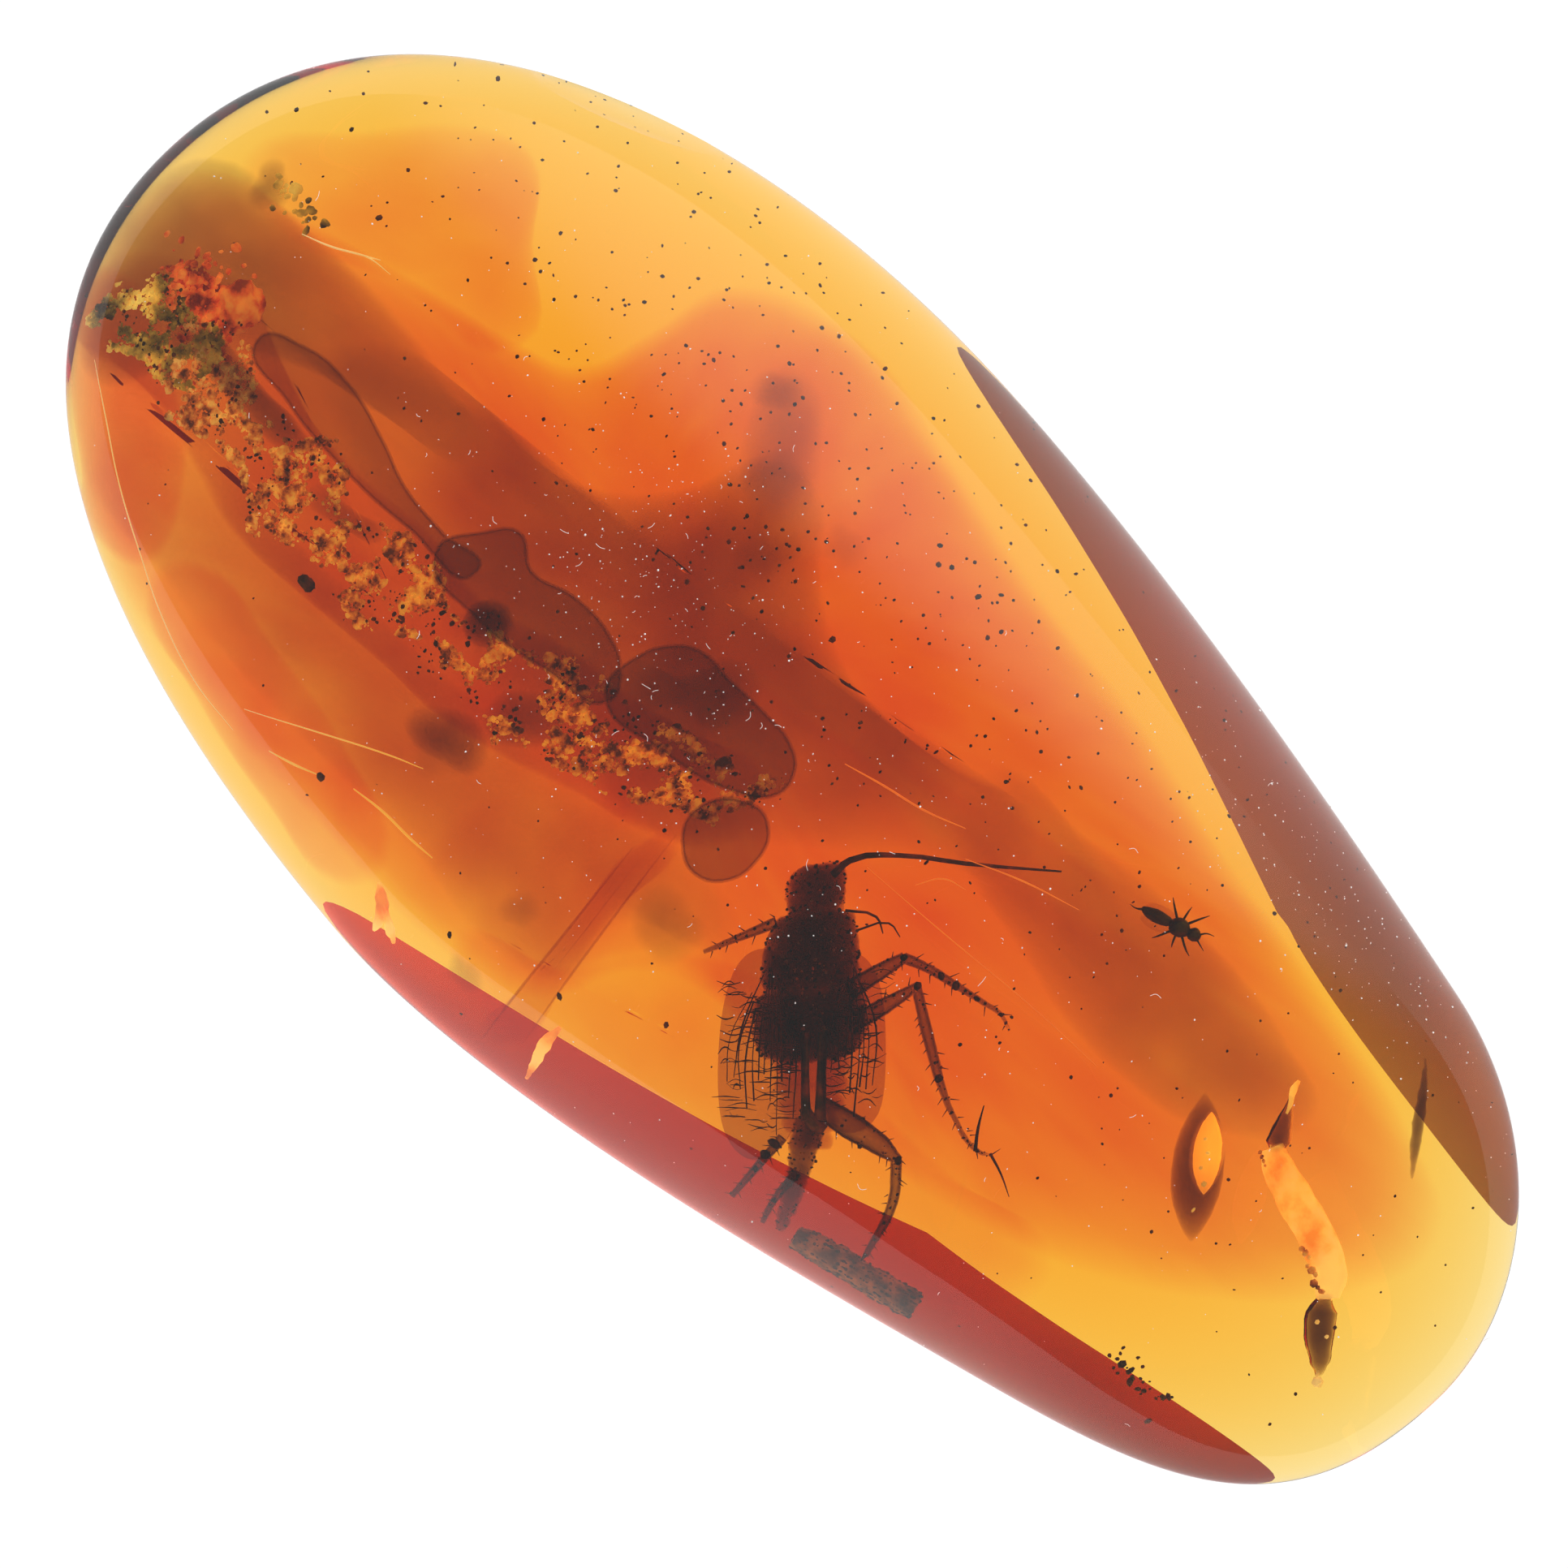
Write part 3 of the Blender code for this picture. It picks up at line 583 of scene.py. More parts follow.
def draw_out(name, sections, points=20):
    """Extrude a ring along sections (u, v, w, half width, half height) and close both ends."""
    u, v, w, wide, high = sections[0]
    body = begin(
        bpy.ops.mesh.primitive_circle_add, name, vertices=points, radius=1.0, rotation=(0, math.pi / 2, 0)
    )
    bpy.ops.object.transform_apply(location=False, rotation=True, scale=False)
    edit(body)
    bpy.ops.mesh.select_all(action="SELECT")
    bpy.ops.transform.resize(value=(1, wide, high))
    bpy.ops.transform.translate(value=(u, v, w))
    for after_u, after_v, after_w, after_wide, after_high in sections[1:]:
        shift = (after_u - u, after_v - v, after_w - w)
        extrude_to(shift, (1, after_wide / wide, after_high / high), (after_u, after_v, after_w))
        u, v, w, wide, high = after_u, after_v, after_w, after_wide, after_high
    close_up()
    return body


def roughen(piece, amount, size, seed_shift=0.0):
    """Push the surface in and out with a cloud texture, and apply it."""
    pattern = bpy.data.textures.new(piece.name + "_lumps", "CLOUDS")
    pattern.noise_scale = size
    lumps = piece.modifiers.new("lumps", "DISPLACE")
    lumps.texture = pattern
    lumps.texture_coords = "LOCAL"
    lumps.strength = amount
    lumps.mid_level = 0.5 + seed_shift
    apply_all(piece)
    return piece


def join(parts, name):
    bpy.ops.object.select_all(action="DESELECT")
    for part in parts:
        part.select_set(True)
    bpy.context.view_layer.objects.active = parts[0]
    bpy.ops.object.join()
    parts[0].name = name
    parts[0].data.name = name
    return parts[0]


# %% Head, collar and chest
HEAD = (
    (-0.12, 0.0, 0.0, 0.34, 0.2),
    (-0.02, 0.0, 0.0, 0.52, 0.38),
    (0.2, 0.0, 0.02, 0.62, 0.48),
    (0.55, 0.0, 0.02, 0.64, 0.5),
    (0.82, 0.0, 0.0, 0.6, 0.46),
    (0.95, 0.0, 0.0, 0.5, 0.4),
)
COLLAR = (
    (0.85, 0.0, 0.05, 0.6, 0.44),
    (0.95, 0.0, 0.08, 0.82, 0.56),
    (1.3, -0.02, 0.1, 0.93, 0.62),
    (1.75, -0.03, 0.1, 1.0, 0.64),
    (2.2, -0.02, 0.1, 1.04, 0.62),
    (2.42, 0.0, 0.08, 0.98, 0.54),
    (2.5, 0.0, 0.05, 0.8, 0.44),
)
CHEST = (
    (2.4, 0.0, 0.0, 0.9, 0.46),
    (2.55, 0.0, 0.02, 1.12, 0.6),
    (2.95, 0.02, 0.04, 1.2, 0.66),
    (3.4, 0.02, 0.04, 1.2, 0.66),
    (3.75, 0.03, 0.0, 1.1, 0.58),
    (3.95, 0.05, 0.0, 0.8, 0.44),
)
blocks = []
for name, sections in (("head", HEAD), ("collar", COLLAR), ("chest", CHEST)):
    block = draw_out("insect_" + name, sections)
    thick = block.modifiers.new("rounder", "SUBSURF")
    thick.levels = thick.render_levels = 2
    apply_all(block)
    blocks.append(roughen(block, 0.1, 0.28))
print("body blocks:", [block.name for block in blocks])

# %% [markdown]
# ## Belly, tail and the two dark rods
# The belly is a chain of rings, each a little wider than the joint before it, so its sections are worked out
# in a loop. Behind it hangs a darker column of the crossed hind parts, and two rods run back from the chest
# between the wings.

# %% Belly rings, tail column and rods
BELLY_RINGS = 5
BELLY_START, BELLY_END = 3.8, 5.9


def belly_sections():
    sections = []
    step = (BELLY_END - BELLY_START) / BELLY_RINGS
    for k in range(BELLY_RINGS):
        u = BELLY_START + k * step
        wide = 0.8 * math.cos(0.22 * k)
        for part, swell in ((0.08, 0.88), (0.35, 1.0), (0.7, 1.0), (0.95, 0.9)):
            sections.append((u + part * step, 0.12, -0.05, wide * swell, 0.5 * wide / 0.8 * swell))
    return sections


TAIL = (
    (5.1, 0.14, -0.1, 0.3, 0.26),
    (5.35, 0.1, -0.1, 0.4, 0.34),
    (5.9, 0.0, -0.12, 0.34, 0.3),
    (6.4, -0.12, -0.15, 0.28, 0.26),
    (6.9, -0.27, -0.25, 0.26, 0.24),
    (7.3, -0.4, -0.35, 0.22, 0.2),
    (7.8, -0.62, -0.48, 0.15, 0.14),
    (7.95, -0.68, -0.5, 0.08, 0.08),
)
belly = draw_out("insect_belly", belly_sections())
rest(settle(roughen(roughen(belly, 0.06, 0.2), 0.06, 0.08), INSECT_PLACE), belly_flesh, smooth=50)
tail = draw_out("insect_tail", TAIL, points=14)
thick = tail.modifiers.new("rounder", "SUBSURF")
thick.levels = thick.render_levels = 2
apply_all(tail)
blocks.append(roughen(tail, 0.14, 0.16))


def bars(name, paths, detail=2, steps=4):
    """Round bars along points (x, y, z, radius): one path curve with a round bevel, made a mesh."""
    bar = begin(bpy.ops.curve.primitive_bezier_curve_add, name)
    curve = bar.data
    curve.dimensions = "3D"
    curve.bevel_depth = 1.0
    curve.bevel_resolution = detail
    curve.resolution_u = steps
    curve.use_fill_caps = True
    curve.splines.clear()
    for path in paths:
        spline = curve.splines.new("BEZIER")
        spline.bezier_points.add(len(path) - 1)
        for knot, (x, y, z, radius) in zip(spline.bezier_points, path):
            knot.co = (x, y, z)
            knot.radius = radius
            knot.handle_left_type = knot.handle_right_type = "AUTO"
    bpy.ops.object.convert(target="MESH")
    bar = bpy.context.object
    edit(bar)
    bpy.ops.mesh.select_all(action="SELECT")
    bpy.ops.mesh.remove_doubles(threshold=0.0005)
    bpy.ops.mesh.normals_make_consistent(inside=False)
    bpy.ops.object.mode_set(mode="OBJECT")
    return bar


RODS = (
    ((3.4, -0.1, 0.55, 0.1), (4.3, -0.05, 0.45, 0.09), (5.3, 0.0, 0.3, 0.11)),
    ((3.4, 0.28, 0.55, 0.1), (4.3, 0.29, 0.45, 0.1), (5.3, 0.3, 0.3, 0.13)),
    ((5.0, -0.05, 0.25, 0.12), (5.35, 0.15, 0.25, 0.17), (5.5, 0.4, 0.2, 0.12)),
)
body = join(blocks, "insect_body")
one_skin = body.modifiers.new("one_skin", "REMESH")
one_skin.mode = "VOXEL"
one_skin.voxel_size = 0.045
apply_all(body)
roughen(body, 0.16, 0.35)
roughen(body, 0.1, 0.11)
rest(settle(body, INSECT_PLACE), insect_flesh, smooth=50)
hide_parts("insect")


def crust_places(piece, count, sizes, seed):
    """Places on the surface of a finished piece, in mm, with a size each."""
    rng = random.Random(seed)
    spots = [rng.choice(piece.data.polygons).center / MM for _ in range(count)]
    return [(*spot, rng.uniform(*sizes)) for spot in spots]


rods = roughen(bars("insect_rods", RODS), 0.05, 0.1)
rest(settle(rods, INSECT_PLACE), insect_skin, smooth=50)

# %% [markdown]
# ## Legs of thin skin
# The legs are hollow, and their skin is thin enough to see through: each shows as a pale tube with two dark
# edges, because a ray near the edge runs through more skin. A real wall does that by itself, so each leg is
# a tube with a wall from the Solidify modifier, and the skin takes light away without bending it.

# %% Legs, antenna and claws
leg_skin = stain_finish("leg_skin", (11.0, 13.5, 14.5))
LEG_WALL = 0.055
LEGS = (
    # right fore leg: thigh, shin, foot
    ((2.5, 0.8, -0.2, 0.22), (2.15, 1.4, -0.28, 0.19), (1.9, 1.87, -0.3, 0.13)),
    ((1.9, 1.84, -0.3, 0.12), (2.12, 2.3, -0.35, 0.1), (2.35, 2.68, -0.4, 0.09)),
    ((2.33, 2.64, -0.4, 0.09), (2.94, 3.54, -0.4, 0.06), (3.2, 3.9, -0.4, 0.05), (3.55, 4.1, -0.4, 0.03)),
    # right middle leg
    ((3.2, 0.85, -0.3, 0.22), (2.85, 1.55, -0.3, 0.19), (2.49, 2.2, -0.3, 0.1)),
    ((2.5, 2.15, -0.3, 0.11), (3.4, 2.42, -0.35, 0.12), (4.44, 2.76, -0.4, 0.1)),
    ((4.4, 2.74, -0.4, 0.09), (5.2, 3.1, -0.45, 0.06), (5.98, 3.65, -0.5, 0.05), (6.1, 3.95, -0.5, 0.03)),
    # right hind leg
    ((4.9, 0.35, -0.2, 0.24), (5.35, 1.0, -0.2, 0.3), (5.75, 1.6, -0.25, 0.24), (6.13, 2.05, -0.3, 0.11)),
    ((6.1, 2.0, -0.3, 0.13), (7.04, 1.95, -0.4, 0.12), (8.35, 1.32, -0.45, 0.08)),
    # left legs
    ((1.0, -0.75, -0.2, 0.13), (1.26, -1.49, -0.3, 0.09), (1.52, -2.19, -0.3, 0.05)),
    ((5.6, -0.45, -0.2, 0.12), (6.35, -1.08, -0.35, 0.1), (7.1, -1.7, -0.6, 0.07)),
    ((6.39, -0.14, -0.3, 0.12), (7.1, -0.7, -0.5, 0.09), (7.75, -1.05, -0.6, 0.06)),
)
legs = bars("insect_legs", LEGS, detail=3, steps=8)
roughen(legs, 0.03, 0.12)
wall = legs.modifiers.new("wall", "SOLIDIFY")
wall.thickness = LEG_WALL
wall.offset = -1.0
apply_all(legs)
rest(settle(legs, INSECT_PLACE), leg_skin, smooth=60)

# %% [markdown]
# Antenna, feelers, claws and the dark joints are too fine for a wall, so they are plain dark bars. Short
# bristles stand along shins and thighs: one bristle is a bar a tenth of a millimetre long or so, and a loop
# sets them along each leg, leaning outwards.

# %% Antenna, feelers, claws, joints and bristles
FINE_PARTS = [
    ((0.15, 0.3, 0.2, 0.09), (-0.12, 0.62, 0.3, 0.07), (-0.16, 1.6, 0.4, 0.05), (0.1, 3.0, 0.4, 0.045), (0.38, 5.0, 0.4, 0.02)),
    ((0.87, 0.6, 0.0, 0.03), (1.05, 1.24, 0.0, 0.025), (1.4, 1.4, 0.0, 0.012)),
    ((1.3, 0.85, 0.0, 0.025), (1.2, 1.5, 0.05, 0.02), (1.5, 1.75, 0.05, 0.01)),
    ((5.98, 3.6, -0.5, 0.04), (5.5, 3.62, -0.5, 0.03), (5.04, 3.7, -0.5, 0.012)),
    ((6.05, 3.9, -0.5, 0.03), (6.5, 4.15, -0.5, 0.02), (7.0, 4.35, -0.5, 0.008)),
    ((8.3, 1.34, -0.45, 0.05), (8.5, 1.2, -0.45, 0.02)),
]
JOINTS = (
    (1.9, 1.86, -0.3, 0.11),
    (2.33, 2.64, -0.4, 0.11),
    (2.55, 2.95, -0.4, 0.12),
    (2.85, 3.4, -0.4, 0.08),
    (3.2, 3.9, -0.4, 0.06),
    (2.5, 2.18, -0.3, 0.12),
    (4.42, 2.75, -0.4, 0.12),
    (5.98, 3.64, -0.5, 0.07),
    (6.12, 2.03, -0.3, 0.13),
    (6.35, -1.08, -0.35, 0.1),
    (6.0, -0.85, -0.3, 0.14),
    (5.75, -0.65, -0.2, 0.16),
    (7.1, -0.7, -0.5, 0.08),
)
rng = random.Random(11)
for leg in LEGS:
    for (x0, y0, z0, r0), (x1, y1, z1, r1) in zip(leg, leg[1:]):
        length = math.dist((x0, y0), (x1, y1))
        side = Vector((y0 - y1, x1 - x0)) / max(length, 1e-6)
        for k in range(int(length / 0.16)):
            t = (k + rng.random()) / (length / 0.16)
            out = rng.choice((-1, 1))
            reach = rng.uniform(0.06, 0.16)
            root = Vector((x0 + t * (x1 - x0), y0 + t * (y1 - y0))) + side * out * (r0 + t * (r1 - r0)) * 0.9
            tip = root + side * out * reach + Vector((x1 - x0, y1 - y0)) / max(length, 1e-6) * reach * 0.7
            z = z0 + t * (z1 - z0)
            FINE_PARTS.append(((root.x, root.y, z, 0.014), (tip.x, tip.y, z + rng.uniform(-0.05, 0.05), 0.005)))
fine = bars("insect_fine_parts", FINE_PARTS, detail=0, steps=3)


def knobs(name, places, seed, squash=1.0):
    """Small uneven lumps: one ball roughened once, then copied to each place with its own mesh."""
    rng = random.Random(seed)
    ball = begin(bpy.ops.mesh.primitive_ico_sphere_add, name, subdivisions=2, radius=1.0)
    roughen(ball, 0.55, 0.9)
    copies = []
    for x, y, z, radius in places:
        copy = ball.copy()
        copy.data = ball.data.copy()
        scene.collection.objects.link(copy)
        spin = Matrix.Rotation(rng.uniform(0, 6.28), 4, "Z") @ Matrix.Rotation(rng.uniform(0, 6.28), 4, "X")
        size = Vector((radius * rng.uniform(0.8, 1.3), radius * rng.uniform(0.7, 1.1), radius * rng.uniform(0.7, 1.0)))
        copy.matrix_world = Matrix.Translation((x, y, z)) @ Matrix.Diagonal((1, 1, squash, 1)) @ spin @ Matrix.Diagonal((*size, 1))
        copies.append(copy)
    bpy.data.objects.remove(ball)
    return join(copies, name)


joints = knobs("insect_joints", [(u, v, w, radius * 0.75) for u, v, w, radius in JOINTS], seed=3)
fine = settle(join([fine, joints], "insect_fine_parts"), INSECT_PLACE)
rest(fine, insect_skin, smooth=60)

# %% [markdown]
# ## Wings
# Two leathery fore wings lie over the belly and reach past it on both sides. They are thin and clear enough
# to see light through, with a net of brown veins and brown patches. The sheet starts as a filled ring of
# points that are moved to the wing's outline, inset to round the rim, domed a little, and given a thickness.

# %% Wing finish
wing_skin = stain_finish("wing_skin", (16.0, 26.0, 30.0))

# %% Two fore wings
WING_LEFT = ((1.5, -0.6), (1.6, -1.5), (2.6, -1.85), (3.9, -1.97), (5.2, -2.02), (6.0, -1.9), (6.45, -1.5), (6.4, -0.95), (5.9, -0.5), (5.3, -0.15), (4.2, -0.06), (3.2, -0.05))
WING_RIGHT = ((1.7, 0.5), (1.8, 1.1), (2.6, 1.5), (3.9, 1.62), (4.8, 1.62), (5.35, 1.5), (5.7, 1.05), (5.6, 0.6), (5.2, 0.35), (4.2, 0.25), (3.4, 0.2))
WING_W = 0.42
WING_THICK = 0.03


def leaf(name, outline, rim=0.12, crown=0.12, inner_cuts=3, thick=WING_THICK):
    """A thin sheet with this outline: a filled ring moved to it, inset to its middle and raised."""
    sheet = begin(bpy.ops.mesh.primitive_circle_add, name, vertices=len(outline), radius=1.0, fill_type="NGON")
    for vert, (x, y) in zip(sheet.data.vertices, outline):
        vert.co = (x, y, 0)
    edit(sheet)
    bpy.ops.mesh.select_all(action="SELECT")
    bpy.ops.mesh.normals_make_consistent(inside=False)
    for _ in range(inner_cuts):
        bpy.ops.mesh.inset(thickness=rim)
        bpy.ops.transform.translate(value=(0, 0, crown / inner_cuts))
        bpy.ops.transform.resize(value=(0.82, 0.72, 1))
    bpy.ops.object.mode_set(mode="OBJECT")
    smooth = sheet.modifiers.new("smooth", "SUBSURF")
    smooth.levels = smooth.render_levels = 3
    wall = sheet.modifiers.new("wall", "SOLIDIFY")
    wall.thickness = thick
    wall.offset = 0.0
    apply_all(sheet)
    return sheet


wings = []
for name, outline, lift in (("wing_left", WING_LEFT, WING_W + 0.25), ("wing_right", WING_RIGHT, WING_W + 0.2)):
    wing = leaf(name, outline)
    wing.location.z = lift
    wings.append(settle(wing, INSECT_PLACE))
for side, wing in zip(("left", "right"), wings):
    rest(wing, wing_skin, smooth=60)

# %% [markdown]
# Veins run along each wing and short cross veins join them, which gives the wings their hatched look. They
# are bars: the long ones fan out from the shoulder, the cross ones span the wing from edge to edge, broken
# here and there.

# %% Wing veins
vein_rng = random.Random(61)


def veins_of(outline, shoulder, tip, counts):
    """Long and cross veins inside a wing's outline, as bar paths in the insect's own axes."""
    middle_v = sum(v for _, v in outline) / len(outline)
    outer = max(abs(v) for _, v in outline) * (1 if middle_v > 0 else -1)
    inner = 0.25 if middle_v > 0 else -0.15
    paths = []
    for k in range(counts[0]):
        v = inner + (outer * 0.95 - inner) * (k + 0.5) / counts[0]
        start, end = vein_rng.uniform(0.0, 0.3), vein_rng.uniform(0.55, 1.0)
        path = []
        for t in (start, (start + end) / 2, end):
            u = shoulder[0] + t * (tip[0] - shoulder[0])
            spread = min(1.0, 2.2 * t) * (1 - 0.25 * t * t)
            path.append((u, shoulder[1] * (1 - spread) + v * spread + vein_rng.uniform(-0.04, 0.04), WING_W + 0.12, vein_rng.uniform(0.008, 0.022)))
        paths.append(tuple(path))
    for k in range(counts[1]):
        u = 2.3 + (tip[0] - 2.9) * k / counts[1] + vein_rng.uniform(-0.12, 0.12)
        at, reach = vein_rng.uniform(0.1, 0.9), vein_rng.uniform(0.04, 0.2)
        v0, v1 = inner + (outer - inner) * (at - reach), inner + (outer - inner) * (at + reach)
        lean = vein_rng.uniform(-0.08, 0.08)
        radius = vein_rng.uniform(0.006, 0.02)
        paths.append(((u, v0, WING_W + 0.12, radius * 0.5), (u + lean, (v0 + v1) / 2, WING_W + 0.13, radius), (u - lean, v1, WING_W + 0.1, radius * 0.4)))
    return paths


VEINS = veins_of(WING_LEFT, (1.7, -0.8), (6.2, -1.2), (12, 110)) + veins_of(WING_RIGHT, (1.9, 0.8), (5.5, 0.9), (9, 80))
veins = settle(bars("wing_veins", VEINS, detail=1, steps=4), INSECT_PLACE)
rest(veins, insect_skin, smooth=60)

# %% [markdown]
# ## The small fly
# A gnat about two millimetres long lies apart from the rest, seen from its side. It is made in the same way:
# three masses drawn out of rings, fine bars for legs and feelers, and two small clear wings.

# %% Small fly
FLY_AT = (7.9, 4.2, 4.4)
FLY_TURN = 22.0
FLY_PLACE = Matrix.Translation(FLY_AT) @ Matrix.Rotation(math.radians(FLY_TURN), 4, "Z")
FLY_MASSES = {
    "fly_abdomen": ((-0.95, 0.0, -0.02, 0.03, 0.03), (-0.85, 0.0, -0.02, 0.09, 0.08), (-0.6, 0.0, -0.02, 0.15, 0.13), (-0.35, 0.0, 0.0, 0.14, 0.13), (-0.16, 0.0, 0.0, 0.07, 0.07)),
    "fly_chest": ((-0.24, 0.0, 0.0, 0.06, 0.06), (-0.15, 0.0, 0.02, 0.18, 0.17), (0.02, 0.0, 0.04, 0.22, 0.2), (0.18, 0.0, 0.02, 0.16, 0.15), (0.26, 0.0, 0.0, 0.06, 0.06)),
    "fly_head": ((0.22, 0.0, 0.0, 0.05, 0.05), (0.28, 0.0, 0.0, 0.14, 0.12), (0.4, 0.0, 0.0, 0.16, 0.14), (0.5, 0.0, 0.0, 0.1, 0.09), (0.54, 0.0, 0.0, 0.04, 0.04)),
}
fly_parts = []
for name, sections in FLY_MASSES.items():
    mass = draw_out(name, sections, points=12)
    thick = mass.modifiers.new("rounder", "SUBSURF")
    thick.levels = thick.render_levels = 1
    apply_all(mass)
    fly_parts.append(roughen(mass, 0.05, 0.1))
FLY_BARS = [
    ((0.48, 0.05, 0.04, 0.025), (0.62, 0.14, 0.05, 0.015), (0.8, 0.16, 0.05, 0.006)),
    ((0.48, -0.05, 0.04, 0.025), (0.6, -0.12, 0.05, 0.015), (0.74, -0.2, 0.05, 0.006)),
    ((-0.9, 0.0, 0.0, 0.03), (-1.05, -0.04, 0.0, 0.015), (-1.2, -0.02, 0.0, 0.006)),
]
for start, lean in ((0.12, 0.22), (0.0, 0.02), (-0.12, -0.2)):
    for side in (-1, 1):
        knee = (start + lean, side * 0.33, -0.08, 0.022)
        foot = (start + lean * 1.6, side * 0.44, -0.24, 0.008)
        FLY_BARS.append(((start, side * 0.12, -0.06, 0.03), knee, foot))
fly_parts.append(bars("fly_bars", FLY_BARS, detail=1, steps=4))
fly_skin = mottled("fly_skin", ((0.4, (0.01, 0.006, 0.004)), (0.7, (0.05, 0.016, 0.008))), 4000, 0.35)
fly = settle(join(fly_parts, "fly_body"), FLY_PLACE)
rest(fly, fly_skin, smooth=60)
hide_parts("small_fly")

FLY_WING = ((0.05, 0.04), (-0.1, 0.2), (-0.4, 0.27), (-0.75, 0.24), (-0.88, 0.14), (-0.8, 0.05), (-0.4, 0.03))
fly_wings = []
for side in (-1, 1):
    wing = leaf("fly_wing", [(x, side * y) for x, y in FLY_WING], rim=0.02, crown=0.03, inner_cuts=1, thick=0.01)
    wing.location.z = 0.2
    fly_wings.append(settle(wing, FLY_PLACE))
rest(join(fly_wings, "fly_wings"), wing_skin, smooth=60)

# %% [markdown]
# ## Twig
# A short mottled piece of twig lies by the rim, under the insect's hind feet. It is a bar along five points
# with a rough bark, and its ends are broken off square.

# %% Twig
TWIG_PATH = ((7.5, -5.7, 3.2, 0.34), (8.3, -5.4, 3.2, 0.42), (9.2, -5.15, 3.2, 0.4), (10.0, -4.9, 3.2, 0.43), (10.45, -4.72, 3.2, 0.38))
twig = bars("twig_bark", (TWIG_PATH,), detail=6, steps=12)
roughen(roughen(twig, 0.14, 0.35), 0.08, 0.1)
bark = mottled(
    "twig_bark", ((0.3, (0.03, 0.008, 0.003)), (0.45, (0.2, 0.05, 0.012)), (0.62, (0.65, 0.18, 0.045)), (0.8, (0.08, 0.02, 0.006))), 2200, 0.7
)
# Painted glow: a faint emission brightens the bark in its own tones.
lit_through_with_painted_glow(bark, 0.1, 0.06)
rest(settle(twig), bark, smooth=60)
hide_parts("twig")

# %% [markdown]
# ## The stained film
# Over the debris lies a thin film of reddish sap with a lobed edge. Its rim is a little thicker, so it shows
# as a dark line. Each lobe is a closed curve filled to a thin sheet, and the rim is the same curve with a
# round bevel. Both only take light away.


# %% Film lobes and their rims
film_stain = stain_finish("film_stain", (3.4, 4.2, 4.5))
rim_stain = stain_finish("film_rim", (5.5, 6.5, 7.0))
FILM_Z = 5.1
FILM_THICK = 0.3
FILM_LOBES = {
    "first": ((-15.1, -2.2), (-14.2, -1.5), (-12.9, -1.3), (-11.5, -1.5), (-10.4, -1.75), (-9.1, -1.75), (-8.0, -1.7), (-9.7, -2.2), (-12.0, -2.5), (-13.6, -2.5)),
    "second": ((-8.9, -2.1), (-8.5, -1.1), (-8.0, -0.6), (-7.2, -0.9), (-6.2, -0.6), (-5.1, -0.55), (-4.3, -0.85), (-4.0, -1.35), (-5.4, -1.9), (-7.2, -2.3)),
    "third": ((-4.2, -1.3), (-4.3, -0.4), (-4.0, 0.2), (-3.5, 0.55), (-2.6, 0.62), (-1.6, 0.72), (-0.7, 0.7), (-0.2, 0.4), (-0.1, -0.1), (-0.8, -0.7), (-2.4, -1.2)),
    "fourth": ((-1.0, -1.5), (-0.5, -2.2), (0.1, -2.3), (0.6, -1.9), (0.7, -1.3), (0.4, -0.7), (-0.3, -0.6)),
}

rims = []
for i, (name, outline) in enumerate(FILM_LOBES.items()):
    lobe = closed_curve("film_" + name, outline, FILM_Z + 0.03 * i)
    lobe.data.dimensions = "2D"
    lobe.data.fill_mode = "BOTH"
    lobe.data.extrude = 0.09 + 0.005 * i
    alone(lobe)
    bpy.ops.object.convert(target="MESH")
    lobe = bpy.context.object
    edit(lobe)
    close_up()
    rest(settle(lobe), film_stain)
    if i == 0:
        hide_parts("stained_film")
    rim = closed_curve("rim_" + name, outline, FILM_Z + 0.03 * i)
    rim.data.dimensions = "3D"
    rim.data.bevel_depth = 0.05
    rim.data.bevel_resolution = 2
    alone(rim)
    bpy.ops.object.convert(target="MESH")
    rim = bpy.context.object
    edit(rim)
    close_up()
    rims.append(settle(rim))
rest(join(rims, "film_rims"), rim_stain)
